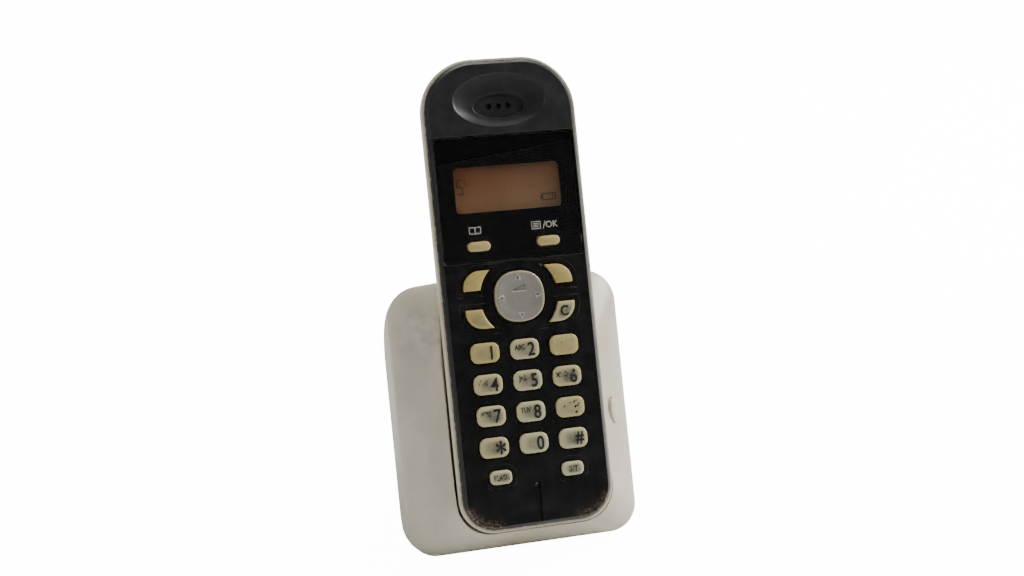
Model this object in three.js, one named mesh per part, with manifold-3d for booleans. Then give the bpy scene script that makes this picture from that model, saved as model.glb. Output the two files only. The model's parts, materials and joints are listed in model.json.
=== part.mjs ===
// A cordless telephone handset standing in its charging base.
// Millimetres, +Z up, keypad facing -Y, origin at the middle of the footprint on the surface below the feet.
//
// Both mouldings are drawn in one leaning frame: x runs across, z runs up along the handset from its
// bottom end, and y is the depth behind the flat face of the handset. Outlines are (x, z) points,
// listed anticlockwise as the caller of the phone sees them.
import * as THREE from "three";
import { mergeVertices } from "three/addons/utils/BufferGeometryUtils.js";
import Module from "manifold-3d";

const wasm = await Module();
wasm.setup();

// ---------------------------------------------------------------- driving dimensions

const LEAN = THREE.MathUtils.degToRad(22.7); // handset axis, back from the vertical
const SEAT_HEIGHT = 18.5; // bottom end of the handset's face above the table
const GAP = 0.3; // air between pieces that touch

// Handset body
const RIM_HALF_WIDTH = 24.1; // rear case at its front edge
const RIM_BOTTOM = -0.7;
const RIM_TOP = 143.1;
const RIM_DEPTH = 2.0; // front edge of the rear case behind the face
const HANDSET_DEPTH = 31.0;
const HANDSET_BOTTOM_RADIUS = 10.6;
const HANDSET_TOP_RADIUS = 16.6;
const BACK_DRAFT = 0.28; // how fast the sides close in behind the rim
const BACK_ROUND = 8.5; // extra closing-in at the middle of the back
const REAR_WALL = 1.8;
const FACE_SET_BACK = 0.9; // front case inside the rim of the rear case
const FACE_CHAMFER_WIDTH = 1.0;
const FACE_CHAMFER_DEPTH = 1.2;
const FACE_WALL = 2.4;
const LIP_WALL = 1.2; // lip of the front case that enters the rear case
const LIP_DEPTH = 5.0;

// Earpiece dish
const DISH_CENTRE = RIM_TOP - 12.9;
const DISH_HALF_WIDTH = 14.4;
const DISH_HALF_HEIGHT = 7.95;
const DISH_FLOOR_CENTRE = DISH_CENTRE - 1.7;
const DISH_FLOOR_HALF_WIDTH = 8.35;
const DISH_FLOOR_HALF_HEIGHT = 4.0;
const DISH_DEPTH = 2.2;
const DISH_WALL = 1.2;
const EAR_HOLE_RADIUS = 0.85;
const EAR_HOLE_PITCH = 3.04;
const EAR_HOLE_COUNT = 3;
const RECEIVER_RADIUS = 6.8;
const RECEIVER_THICKNESS = 3.6;

// Mouthpiece
const MIC_HOLE_HEIGHT = RIM_BOTTOM + 13.0;
const MIC_HOLE_RADIUS = 0.8;
const MIC_GROOVE_WIDTH = 1.0;
const MIC_GROOVE_DEPTH = 0.5;
const MIC_GROOVE_BOTTOM = RIM_BOTTOM + 1.6;
const MIC_RADIUS = 2.9;
const MIC_THICKNESS = 2.4;
const MIC_HEIGHT = RIM_BOTTOM + 10.7;

// Display
const LENS_SIDE_MARGIN = 2.4; // rim of the handset to lens
const LENS_HALF_WIDTH = RIM_HALF_WIDTH - LENS_SIDE_MARGIN;
const LENS_TOP = RIM_TOP - 23.7;
const LENS_HEIGHT = 37.8;
const LENS_BOTTOM = LENS_TOP - LENS_HEIGHT;
const LENS_CORNER = 0.8;
const LENS_THICKNESS = 0.8;
const MASK_THICKNESS = 0.2;
const WINDOW_SIDE_MARGIN = 5.1; // edge of the lens to window
const WINDOW_HALF_WIDTH = LENS_HALF_WIDTH - WINDOW_SIDE_MARGIN;
const WINDOW_TOP = LENS_TOP - 9.1;
const WINDOW_HEIGHT = 13.9;
const WINDOW_BOTTOM = WINDOW_TOP - WINDOW_HEIGHT;
const WINDOW_CORNER = 1.2;
const LCD_BORDER = 1.6; // glass beyond the window on each side
const LCD_THICKNESS = 1.0;
const LCD_FRAME_BORDER = 0.7; // frame beyond the glass on each side
const LCD_FRAME_THICKNESS = 1.4;

// Keys
const KEY_CLEARANCE = 0.3;
const KEY_PROUD = 1.0; // top of a key in front of the face
const KEY_EDGE = 0.4; // rounding of a key's top edge
const KEY_FLANGE = 0.7;
const KEY_FLANGE_THICKNESS = 0.8;
const KEY_TRAVEL = 0.8;
const SOFT_KEY_HEIGHT = LENS_BOTTOM + 4.5;
const NAV_CENTRE = LENS_BOTTOM - 11.6;
const DIGIT_TOP_ROW = NAV_CENTRE - 16.1;
const DIGIT_ROWS = 4;
const DIGIT_COLUMN_PITCH = 12.45;
const DIGIT_ROW_PITCH = 9.58;
const SMALL_KEY_DROP = 9.16; // last row of digits to the small keys
const SMALL_KEY_HEIGHT = DIGIT_TOP_ROW - (DIGIT_ROWS - 1) * DIGIT_ROW_PITCH - SMALL_KEY_DROP;
const DIGIT_HALF_WIDTH = 4.45;
const DIGIT_HALF_HEIGHT = 3.05;
const DIGIT_CORNER = 2.2;
const SMALL_KEY_X = 11.33;
const SMALL_KEY_HALF_WIDTH = 3.4;
const SMALL_KEY_HALF_HEIGHT = 2.1;
const SMALL_KEY_CORNER = 1.6;
const SOFT_KEY_X = 10.9;
const SOFT_KEY_HALF_WIDTH = 3.5;
const SOFT_KEY_HALF_HEIGHT = 1.45;
const NAV_HALF_WIDTH = 7.77;
const NAV_SQUARENESS = 2.35; // power of the superellipse
const NAV_CLEARANCE = 0.45;
const NAV_FLANGE_DROP = 0.7; // room for the flange to rock under the face
const NAV_SUPPORT_RADIUS = 2.5;
const NAV_SUPPORT_THICKNESS = 0.6;
const CORNER_KEY_INNER_RADIUS = 12.3; // concave edge, round the middle of the navigation key
const CORNER_KEY_NEAR_EDGE = 2.85;
const CORNER_KEY_FAR_EDGE = 8.8;
const CORNER_KEY_SIDE = 17.1;
const CORNER_KEY_ROUND = 5.2; // big outer corner

// Boards and pads inside the handset
const MAT_THICKNESS = 0.8;
const MAT_SIDE_ROOM = 3.9; // inside of the rear case to mat
const MAT_HALF_WIDTH = RIM_HALF_WIDTH - REAR_WALL - MAT_SIDE_ROOM;
const MAT_BOTTOM = SMALL_KEY_HEIGHT - 2.7;
const MAT_TOP = SOFT_KEY_HEIGHT + 2.4;
const BOARD_THICKNESS = 1.2;
const BOARD_SIDE_ROOM = 2.7;
const BOARD_HALF_WIDTH = RIM_HALF_WIDTH - REAR_WALL - BOARD_SIDE_ROOM;
const BOARD_BOTTOM = RIM_BOTTOM + REAR_WALL + 4.4;
const BOARD_TOP = LENS_TOP - 1.4;
const ANTENNA_HALF_SPAN = 8.5;
const ANTENNA_WIDTH = 1.5;
const ANTENNA_THICKNESS = 0.6;
const ANTENNA_TOP = RIM_TOP - REAR_WALL - 6.8;
const ANTENNA_DEPTH = 9.0;
const RINGER_RADIUS = 6.0;
const RINGER_THICKNESS = 3.6;
const RINGER_HEIGHT = RIM_TOP - 43.1;
const RINGER_ROOM = 2.1; // ringer to the inside of the back
const RINGER_DEPTH = HANDSET_DEPTH - REAR_WALL - RINGER_ROOM - RINGER_THICKNESS;

// Battery bay
const CELL_RADIUS = 5.15;
const CELL_LENGTH = 44.0;
const CELL_BOTTOM = RIM_BOTTOM + 30.2;
const CELL_BEHIND = 10.4; // axis of the cells to the outside of the back
const CELL_DEPTH = HANDSET_DEPTH - CELL_BEHIND;
const CELL_SPACING = 0.6; // air between the two cells
const CELL_NUB_RADIUS = 1.9;
const CELL_NUB = 0.8;
const BAY_WALL = 1.2;
const BAY_SLACK = 0.9; // air round the cells
const TERMINAL_THICKNESS = 0.4;
const COVER_SIDE = 2.9; // cover beyond the walls of the bay
const COVER_HALF_WIDTH = 2 * CELL_RADIUS + CELL_SPACING / 2 + BAY_SLACK + BAY_WALL + COVER_SIDE;
const COVER_BOTTOM = CELL_BOTTOM - 2.7;
const COVER_TOP = CELL_BOTTOM + CELL_LENGTH + 4.1;
const COVER_WALL = 1.6;
const COVER_SEAT_WALL = 1.4;
const COVER_SLIDE = 5.0;

// Screws
const SCREW_RADIUS = 1.1;
const SCREW_HEAD_RADIUS = 2.1;
const SCREW_HEAD_THICKNESS = 1.3;
const SCREW_BOSS_WALL = 1.3;
const HANDSET_SCREW_X = 12.0;
const HANDSET_SCREW_HEIGHT = LENS_TOP + 2.2;
const HANDSET_SCREW_HEAD_DEPTH = HANDSET_DEPTH - 7.4;

// Charging contacts
const CONTACT_X = 11.0;
const CONTACT_HALF_WIDTH = 2.4;
const CONTACT_FRONT = 8.0;
const CONTACT_BACK = 16.0;
const CONTACT_THICKNESS = 0.6;
const SPRING_HALF_WIDTH = 1.5;
const SPRING_THICKNESS = 0.5;
const SPRING_TAIL = 7.0;
const SPRING_SLOT_INSET = 0.8;

// Charging base
const BASE_SIDE = 13.4; // outline beyond the handset's rim at the sides
const BASE_HALF_WIDTH = RIM_HALF_WIDTH + BASE_SIDE;
const BASE_BOTTOM = -9.0;
const BASE_TOP = 77.4;
const BASE_CROWN = 2.2; // rise of the top edge at its middle
const BASE_TOP_RADIUS = 9.5;
const BASE_BOTTOM_RADIUS = 9.0;
const BASE_RIM_BOTTOM_RADIUS = 11.2;
const BASE_OUTLINE_DEPTH = 22.7; // widest outline behind the face of the handset
const BASE_SPLIT_DEPTH = 24.0;
const BASE_REACH = 89.0; // back end, measured along the leaning depth
const BASE_BACK_NARROWING = 11.0;
const BASE_BACK_DROP = 59.0;
const BASE_RIM_DEPTH = 3.0; // rim of the pocket behind the face, at the chin
const BASE_RIM_SLOPE = 0.165; // the rim falls away towards the top
const BASE_RIM_SLOPE_START = 8.0;
const BASE_RIM_TUCK = 0.2; // rim of the flanks beyond the handset's rim
const BASE_FLANK_WIDTH = BASE_SIDE - BASE_RIM_TUCK;
const BASE_CHIN_HEIGHT = 8.3; // outline to rim at the bottom
const BASE_WALL = 2.0;
const POCKET_CLEARANCE = 0.5;
const POCKET_WALL = 1.5;
const FOOT_HEIGHT = 1.45;

// Feet, screws and board of the base, measured back from the handset's bottom end along the table
const SOCKET_FACE_Y = BASE_REACH * Math.cos(LEAN) + 4.094; // face of the sockets, behind the end of the case
const FOOT_RADIUS = 4.0;
const FOOT_RECESS = 1.0;
const FRONT_FOOT_X = 12.5;
const FRONT_FOOT_Y = 23.8;
const REAR_FOOT_X = 20.0;
const REAR_FOOT_Y = SOCKET_FACE_Y - 6.7;
const BASE_SCREW_X = 22.5;
const BASE_SCREW_Y = 25.0;
const BASE_SCREW_LENGTH = 14.0;
const BASE_BOARD_HALF_WIDTH = 20.5;
const BASE_BOARD_BACK = SOCKET_FACE_Y - 5.2;
const BASE_BOARD_LENGTH = 45.0;
const BASE_BOARD_FRONT = BASE_BOARD_BACK - BASE_BOARD_LENGTH;
const BASE_BOARD_Z = 6.4;
const BOARD_POST_RADIUS = 2.0;
const BOARD_POST_INSET = 4.0;

// Sockets at the back of the base
const LINE_SOCKET_X = -10.5;
const LINE_SOCKET_WIDTH = 13.6;
const LINE_SOCKET_HEIGHT = 13.2;
const LINE_SOCKET_LENGTH = 15.0;
const LINE_OPENING_WIDTH = 9.7;
const LINE_OPENING_HEIGHT = 6.9;
const LINE_OPENING_SILL = 2.2;
const LINE_KEYWAY_WIDTH = 6.0;
const LINE_KEYWAY_HEIGHT = 2.1;
const LINE_OPENING_DEPTH = 12.0;
const INLET_X = 9.5;
const INLET_WIDTH = 9.0;
const INLET_HEIGHT = 11.0;
const INLET_LENGTH = 13.0;
const INLET_BORE_RADIUS = 3.1;
const INLET_BORE_DEPTH = 9.5;
const INLET_PIN_RADIUS = 0.85;

// Page button on the right flank of the base
const PAGE_X = BASE_HALF_WIDTH - 7.5;
const PAGE_HEIGHT = 31.0;
const PAGE_HALF_WIDTH = 2.6;
const PAGE_HALF_HEIGHT = 3.9;
const PAGE_PROUD = 0.9;
const PAGE_FLANGE = 0.7;
const PAGE_FLANGE_THICKNESS = 0.7;
const PAGE_TRAVEL = 1.0;
const PAGE_SWITCH_HALF = 2.1;
const PAGE_SWITCH_THICKNESS = 2.0;

// Smoothness of the faceted curves
const CORNER_STEPS = 5;
const KEY_CORNER_STEPS = 2;
const BACK_RINGS = 8;
const BASE_RINGS = 8;

// ---------------------------------------------------------------- finishes

const finish = (color, roughness, metalness = 0) => ({ color, roughness, metalness });
const BLACK_SATIN = finish(0x17181a, 0.38);
const GLOSS_BLACK = finish(0x08080a, 0.12);
const SMOKED_CLEAR = finish(0x2a211c, 0.08);
const LCD_AMBER = finish(0x6e4a30, 0.3);
const CREAM = finish(0xcdc8b4, 0.48);
const KEY_CREAM = finish(0xc2b993, 0.45);
const KEY_PEARL = finish(0xb4b2aa, 0.4);
const BASE_GREY = finish(0xcfcac0, 0.5);
const BOARD_GREEN = finish(0x2f5a38, 0.6);
const RUBBER_GREY = finish(0x77777a, 0.85);
const RUBBER_DARK = finish(0x2b2b2c, 0.9);
const STEEL = finish(0xb9bcc0, 0.3, 1);
const GOLD = finish(0xc9a85c, 0.3, 1);
const CELL_GREEN = finish(0x3c7a4f, 0.4);
const DARK_PLASTIC = finish(0x232326, 0.55);

// ---------------------------------------------------------------- solids

// Keeps only the corners and joins those that meet, so that the surface is closed.
function welded(geometry) {
  geometry.deleteAttribute("normal");
  geometry.deleteAttribute("uv");
  return mergeVertices(geometry, 1e-4);
}

function toSolid(geometry) {
  return new wasm.Manifold(
    new wasm.Mesh({
      numProp: 3,
      vertProperties: new Float32Array(geometry.attributes.position.array),
      triVerts: new Uint32Array(geometry.index.array),
    }),
  );
}

function toGeometry(solid) {
  const mesh = solid.getMesh();
  const geometry = new THREE.BufferGeometry();
  geometry.setAttribute("position", new THREE.BufferAttribute(mesh.vertProperties, 3));
  geometry.setIndex(new THREE.BufferAttribute(mesh.triVerts, 1));
  return welded(geometry);
}

const combine = (method, first, rest) =>
  toGeometry(rest.reduce((solid, other) => solid[method](toSolid(other)), toSolid(first)));
const join = (first, ...rest) => combine("add", first, rest);
const cut = (first, ...rest) => combine("subtract", first, rest);
const common = (first, ...rest) => combine("intersect", first, rest);

// ---------------------------------------------------------------- outlines

function arc(x, z, radiusX, radiusZ, from, to, steps) {
  return Array.from({ length: steps + 1 }, (_, i) => {
    const angle = THREE.MathUtils.degToRad(from + ((to - from) * i) / steps);
    return new THREE.Vector2(x + radiusX * Math.cos(angle), z + radiusZ * Math.sin(angle));
  });
}

// A rounded rectangle between bottom and top, with a crowned upper edge where crown is given.
function roundedOutline(halfWidth, bottom, top, bottomRadius, topRadius, options = {}) {
  const { steps = CORNER_STEPS, crown = 0, topSteps = 1, x = 0 } = options;
  const fits = Math.min(1, (0.98 * (top - bottom)) / (bottomRadius + topRadius));
  const low = Math.min(bottomRadius * fits, halfWidth * 0.98);
  const high = Math.min(topRadius * fits, halfWidth * 0.98);
  const topLeft = -halfWidth + high;
  const topEdge = Array.from({ length: topSteps - 1 }, (_, i) => {
    const share = (i + 1) / topSteps;
    return new THREE.Vector2(THREE.MathUtils.lerp(-topLeft, topLeft, share), top);
  });
  const points = [
    ...arc(halfWidth - low, bottom + low, low, low, -90, 0, steps),
    ...arc(-topLeft, top - high, high, high, 0, 90, steps),
    ...topEdge,
    ...arc(topLeft, top - high, high, high, 90, 180, steps),
    ...arc(-halfWidth + low, bottom + low, low, low, 180, 270, steps),
  ];
  const middle = (bottom + top) / 2;
  for (const point of points) {
    if (point.y > middle) point.y -= crown * (point.x / halfWidth) ** 2;
    point.x += x;
  }
  return points.filter((point, i) => point.distanceTo(points.at(i - 1)) > 1e-6);
}

const boxOutline = (x, z, halfWidth, halfHeight, corner, steps = KEY_CORNER_STEPS) =>
  roundedOutline(halfWidth, z - halfHeight, z + halfHeight, corner, corner, { steps, x });

const ellipseOutline = (x, z, radiusX, radiusZ, steps) =>
  arc(x, z, radiusX, radiusZ, 0, 360, steps).slice(0, -1);

// |x/a|^n + |z/a|^n = 1, a circle pressed towards a square.
function superellipseOutline(x, z, half, power, steps) {
  return Array.from({ length: steps }, (_, i) => {
    const angle = (2 * Math.PI * i) / steps;
    const scale = half / (Math.abs(Math.cos(angle)) ** power + Math.abs(Math.sin(angle)) ** power) ** (1 / power);
    return new THREE.Vector2(x + scale * Math.cos(angle), z + scale * Math.sin(angle));
  });
}

const mirrorOutline = (points, x, z) =>
  (x * z < 0 ? [...points].reverse() : points).map((p) => new THREE.Vector2(p.x * x, p.y * z));

// ---------------------------------------------------------------- solids from outlines

const ringAt = (outline, depth) =>
  outline.map((p) => new THREE.Vector3(p.x, typeof depth === "function" ? depth(p.y) : depth, p.y));

// Skins a row of rings with the same number of points, front one first, and closes both ends.
function loft(rings) {
  const count = rings[0].length;
  const last = (rings.length - 1) * count;
  const faces = [];
  for (let r = 0; r < rings.length - 1; r++) {
    for (let i = 0; i < count; i++) {
      const a = r * count + i;
      const b = r * count + ((i + 1) % count);
      faces.push(a, a + count, b + count, a, b + count, b);
    }
  }
  const flat = (ring) => ring.map((p) => new THREE.Vector2(p.x, p.z));
  for (const [a, b, c] of THREE.ShapeUtils.triangulateShape(flat(rings[0]), [])) faces.push(a, b, c);
  for (const [a, b, c] of THREE.ShapeUtils.triangulateShape(flat(rings.at(-1)), [])) {
    faces.push(last + a, last + c, last + b);
  }
  const geometry = new THREE.BufferGeometry().setFromPoints(rings.flat());
  geometry.setIndex(faces);
  return geometry;
}

const slab = (outline, front, back) => loft([ringAt(outline, front), ringAt(outline, back)]);

function block(x0, x1, y0, y1, z0, z1) {
  const geometry = welded(new THREE.BoxGeometry(x1 - x0, y1 - y0, z1 - z0));
  return geometry.translate((x0 + x1) / 2, (y0 + y1) / 2, (z0 + z1) / 2);
}

const rod = (radius, length, sides) => welded(new THREE.CylinderGeometry(radius, radius, length, sides));

const rodAlongY = (x, z, radius, y0, y1, sides = 16) =>
  rod(radius, y1 - y0, sides).translate(x, (y0 + y1) / 2, z);

const rodAlongZ = (x, y, radius, z0, z1, sides = 16) =>
  rod(radius, z1 - z0, sides)
    .rotateX(Math.PI / 2)
    .translate(x, y, (z0 + z1) / 2);

// A bent strip of even thickness: points are (depth, height) along its middle, spread across x.
function bentStrip(points, thickness, x0, x1) {
  const normals = points.map((_, i) => {
    const before = points[Math.max(i - 1, 0)];
    const after = points[Math.min(i + 1, points.length - 1)];
    return new THREE.Vector2(before[1] - after[1], after[0] - before[0]).normalize();
  });
  const side = (sign) =>
    points.map(([y, z], i) => new THREE.Vector2(y, z).addScaledVector(normals[i], (sign * thickness) / 2));
  const shape = new THREE.Shape([...side(-1), ...side(1).reverse()]);
  const geometry = welded(new THREE.ExtrudeGeometry(shape, { depth: x1 - x0, bevelEnabled: false }));
  return geometry.rotateX(Math.PI / 2).rotateZ(Math.PI / 2).translate(x0, 0, 0);
}

// ---------------------------------------------------------------- assembly

const assembly = new THREE.Group();
const leaning = new THREE.Group();
leaning.rotation.x = -LEAN;
leaning.position.z = SEAT_HEIGHT;
const standing = new THREE.Group();
assembly.add(leaning, standing);
const leaningToTable = new THREE.Matrix4().makeRotationX(-LEAN).setPosition(0, 0, SEAT_HEIGHT);
const tableToLeaning = leaningToTable.clone().invert();
const inLeaning = (geometry) => geometry.applyMatrix4(tableToLeaning);

function addPiece(name, geometry, look, parent = leaning) {
  geometry.computeVertexNormals();
  const mesh = new THREE.Mesh(geometry, new THREE.MeshStandardMaterial({ ...look, flatShading: true }));
  mesh.name = name;
  parent.add(mesh);
}

// ---------------------------------------------------------------- handset shape

const behindRim = (depth) => Math.max(depth - RIM_DEPTH, 0);
const backInset = (depth) =>
  BACK_DRAFT * behindRim(depth) + BACK_ROUND * (behindRim(depth) / (HANDSET_DEPTH - RIM_DEPTH)) ** 4;

const bodyOutline = (inset, moreTop = 0, moreBottom = 0) =>
  roundedOutline(
    RIM_HALF_WIDTH - inset,
    RIM_BOTTOM + inset - moreBottom,
    RIM_TOP - inset + moreTop,
    HANDSET_BOTTOM_RADIUS,
    HANDSET_TOP_RADIUS,
  );

// The handset's body behind the rim, shrunk by a wall or grown by a clearance (a negative shrink).
function backBody(shrink, front, moreTop = 0, moreBottom = 0) {
  const back = HANDSET_DEPTH - shrink;
  const rings = Array.from({ length: BACK_RINGS + 1 }, (_, i) => {
    const depth = THREE.MathUtils.lerp(front, back, (i / BACK_RINGS) ** 0.8);
    return ringAt(bodyOutline(shrink + backInset(depth + shrink), moreTop, moreBottom), depth);
  });
  return loft(rings);
}

const faceOutline = (inset) =>
  roundedOutline(
    RIM_HALF_WIDTH - FACE_SET_BACK - inset,
    RIM_BOTTOM + FACE_SET_BACK + inset,
    RIM_TOP - FACE_SET_BACK - inset,
    HANDSET_BOTTOM_RADIUS - FACE_SET_BACK - inset,
    HANDSET_TOP_RADIUS - FACE_SET_BACK - inset,
  );

// ---------------------------------------------------------------- keys

// One of the four keys round the navigation key: a concave edge facing it and a big outer corner.
function cornerKeyOutline(sideX, sideZ, grow) {
  const near = CORNER_KEY_NEAR_EDGE - grow;
  const far = CORNER_KEY_FAR_EDGE + grow;
  const side = CORNER_KEY_SIDE + grow;
  const inner = CORNER_KEY_INNER_RADIUS - grow;
  const round = CORNER_KEY_ROUND + grow;
  const from = THREE.MathUtils.radToDeg(Math.asin(near / inner));
  const to = THREE.MathUtils.radToDeg(Math.asin(far / inner));
  const points = [
    new THREE.Vector2(side, near),
    ...arc(side - round, far - round, round, round, 0, 90, 3),
    ...arc(0, 0, inner, inner, to, from, 4),
  ];
  return mirrorOutline(points, sideX, sideZ).map((p) => p.add(new THREE.Vector2(0, NAV_CENTRE)));
}

const digitNames = ["1", "2", "3", "4", "5", "6", "7", "8", "9", "star", "0", "hash"];
const keys = [
  ...digitNames.map((label, i) => {
    const x = ((i % 3) - 1) * DIGIT_COLUMN_PITCH;
    const z = DIGIT_TOP_ROW - Math.floor(i / 3) * DIGIT_ROW_PITCH;
    return {
      name: `key_${label}`,
      outline: (grow) =>
        boxOutline(x, z, DIGIT_HALF_WIDTH + grow, DIGIT_HALF_HEIGHT + grow, DIGIT_CORNER + grow),
    };
  }),
  ...[-1, 1].map((side) => ({
    name: side < 0 ? "small_key_left" : "small_key_right",
    outline: (grow) =>
      boxOutline(
        side * SMALL_KEY_X,
        SMALL_KEY_HEIGHT,
        SMALL_KEY_HALF_WIDTH + grow,
        SMALL_KEY_HALF_HEIGHT + grow,
        SMALL_KEY_CORNER + grow,
      ),
  })),
  ...[-1, 1].map((side) => ({
    name: side < 0 ? "soft_key_left" : "soft_key_right",
    throughLens: true,
    outline: (grow) =>
      boxOutline(
        side * SOFT_KEY_X,
        SOFT_KEY_HEIGHT,
        SOFT_KEY_HALF_WIDTH + grow,
        SOFT_KEY_HALF_HEIGHT + grow,
        SOFT_KEY_HALF_HEIGHT + grow,
        3,
      ),
  })),
  ...[
    ["upper_left", -1, 1],
    ["upper_right", 1, 1],
    ["lower_left", -1, -1],
    ["lower_right", 1, -1],
  ].map(([place, x, z]) => ({
    name: `corner_key_${place}`,
    outline: (grow) => cornerKeyOutline(x, z, grow),
  })),
];
const navOutline = (grow) => superellipseOutline(0, NAV_CENTRE, NAV_HALF_WIDTH + grow, NAV_SQUARENESS, 24);

// Cap, body and flange in one moulding; the flange stops the key behind the face.
function keySolid(outline, flangeFront) {
  const flangeBack = flangeFront + KEY_FLANGE_THICKNESS;
  return loft([
    ringAt(outline(-KEY_EDGE), -KEY_PROUD),
    ringAt(outline(0), KEY_EDGE - KEY_PROUD),
    ringAt(outline(0), flangeFront),
    ringAt(outline(KEY_FLANGE), flangeFront),
    ringAt(outline(KEY_FLANGE), flangeBack),
  ]);
}

const flangeFront = FACE_WALL + GAP;
const navFlangeFront = FACE_WALL + NAV_FLANGE_DROP;
const navBack = navFlangeFront + KEY_FLANGE_THICKNESS;
const supportFront = navBack + GAP;
const matFront = Math.max(flangeFront + KEY_FLANGE_THICKNESS + KEY_TRAVEL, supportFront + NAV_SUPPORT_THICKNESS) + GAP;
const boardFront = matFront + MAT_THICKNESS + GAP;
const boardBack = boardFront + BOARD_THICKNESS;

for (const key of keys) addPiece(key.name, keySolid(key.outline, flangeFront), KEY_CREAM);
addPiece("nav_key", keySolid(navOutline, navFlangeFront), KEY_PEARL);
addPiece(
  "nav_key_support",
  rodAlongY(0, NAV_CENTRE, NAV_SUPPORT_RADIUS, supportFront, supportFront + NAV_SUPPORT_THICKNESS),
  RUBBER_GREY,
);

// ---------------------------------------------------------------- front of the handset

const maskFront = LENS_THICKNESS + GAP;
const lensSeat = maskFront + MASK_THICKNESS + GAP;
const lensMiddle = (LENS_BOTTOM + LENS_TOP) / 2;
const lensOutline = (grow) =>
  boxOutline(0, lensMiddle, LENS_HALF_WIDTH + grow, (LENS_TOP - LENS_BOTTOM) / 2 + grow, LENS_CORNER);
const windowMiddle = (WINDOW_BOTTOM + WINDOW_TOP) / 2;
const windowOutline = (grow) =>
  boxOutline(
    0,
    windowMiddle,
    WINDOW_HALF_WIDTH + grow,
    (WINDOW_TOP - WINDOW_BOTTOM) / 2 + grow,
    WINDOW_CORNER,
  );
const softKeys = keys.filter((key) => key.throughLens);
const keyHole = (key) => slab(key.outline(KEY_CLEARANCE), -KEY_PROUD, LIP_DEPTH);

const dishBody = (grow) =>
  loft([
    ringAt(ellipseOutline(0, DISH_CENTRE, DISH_HALF_WIDTH + grow, DISH_HALF_HEIGHT + grow, 28), grow ? FACE_WALL / 2 : 0),
    ringAt(
      ellipseOutline(
        0,
        DISH_FLOOR_CENTRE,
        DISH_FLOOR_HALF_WIDTH + grow,
        DISH_FLOOR_HALF_HEIGHT + grow,
        28,
      ),
      DISH_DEPTH + grow,
    ),
  ]);
const dishMouth = slab(ellipseOutline(0, DISH_CENTRE, DISH_HALF_WIDTH, DISH_HALF_HEIGHT, 28), -1, 0.01);
const earHoles = Array.from({ length: EAR_HOLE_COUNT }, (_, i) =>
  rodAlongY((i - (EAR_HOLE_COUNT - 1) / 2) * EAR_HOLE_PITCH, DISH_FLOOR_CENTRE, EAR_HOLE_RADIUS, 0, LIP_DEPTH, 8),
);

const faceSkirt = RIM_DEPTH - GAP;
// The lip follows the inside of the rear case, which closes in behind the rim.
const lipBody = (inset, front, back) =>
  loft(
    [front, back].map((depth) => {
      const rearInner = REAR_WALL + backInset(depth + REAR_WALL);
      return ringAt(bodyOutline(rearInner + GAP + inset), depth);
    }),
  );
const lipOuter = lipBody(0, faceSkirt - 0.1, LIP_DEPTH);
const lipInner = lipBody(LIP_WALL, FACE_WALL, LIP_DEPTH + 1);
const facePlate = loft([
  ringAt(faceOutline(FACE_CHAMFER_WIDTH), 0),
  ringAt(faceOutline(0), FACE_CHAMFER_DEPTH),
  ringAt(faceOutline(0), faceSkirt),
]);
const screwSides = [-1, 1];
const screwPostFront = FACE_WALL - 0.2;
const screwPostBack = boardBack + 2;
const frontPosts = screwSides.map((side) =>
  rodAlongY(
    side * HANDSET_SCREW_X,
    HANDSET_SCREW_HEIGHT,
    SCREW_RADIUS + SCREW_BOSS_WALL,
    screwPostFront,
    screwPostBack,
  ),
);
const screwBores = screwSides.map((side) =>
  rodAlongY(side * HANDSET_SCREW_X, HANDSET_SCREW_HEIGHT, SCREW_RADIUS + GAP, boardFront, HANDSET_DEPTH),
);
const micHole = rodAlongY(0, MIC_HOLE_HEIGHT, MIC_HOLE_RADIUS, -1, LIP_DEPTH, 10);
const micGroove = block(
  -MIC_GROOVE_WIDTH / 2,
  MIC_GROOVE_WIDTH / 2,
  -1,
  MIC_GROOVE_DEPTH,
  MIC_GROOVE_BOTTOM,
  MIC_HOLE_HEIGHT,
);

const frontBlank = join(cut(facePlate, dishMouth), cut(lipOuter, lipInner), dishBody(DISH_WALL), ...frontPosts);
addPiece(
  "handset_front_case",
  cut(
    frontBlank,
    join(dishMouth, dishBody(0)),
    ...earHoles,
    ...keys.map(keyHole),
    slab(navOutline(NAV_CLEARANCE), -KEY_PROUD, LIP_DEPTH),
    slab(lensOutline(GAP), -1, lensSeat),
    slab(windowOutline(0.8), 0, LIP_DEPTH),
    micHole,
    micGroove,
    ...screwBores,
  ),
  BLACK_SATIN,
);
addPiece(
  "display_lens",
  cut(slab(lensOutline(0), 0, LENS_THICKNESS), ...softKeys.map(keyHole)),
  SMOKED_CLEAR,
);
addPiece(
  "lens_mask",
  cut(
    slab(lensOutline(-GAP), maskFront, maskFront + MASK_THICKNESS),
    slab(windowOutline(0), 0, LIP_DEPTH),
    ...softKeys.map(keyHole),
  ),
  GLOSS_BLACK,
);

const lcdFront = FACE_WALL + GAP;
const lcdBack = lcdFront + LCD_THICKNESS;
const lcdHalfWidth = WINDOW_HALF_WIDTH + LCD_BORDER;
const lcdHalfHeight = (WINDOW_TOP - WINDOW_BOTTOM) / 2 + LCD_BORDER;
const lcdBlock = (grow, front, back) =>
  block(
    -lcdHalfWidth - grow,
    lcdHalfWidth + grow,
    front,
    back,
    windowMiddle - lcdHalfHeight - grow,
    windowMiddle + lcdHalfHeight + grow,
  );
addPiece("lcd_glass", lcdBlock(0, lcdFront, lcdBack), LCD_AMBER);
const lcdFrameBack = lcdBack + GAP + LCD_FRAME_THICKNESS;
addPiece(
  "lcd_frame",
  cut(lcdBlock(LCD_FRAME_BORDER, lcdFront, lcdFrameBack), lcdBlock(GAP, lcdFront - 1, lcdBack + GAP)),
  finish(0xe2e0d8, 0.5),
);

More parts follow.
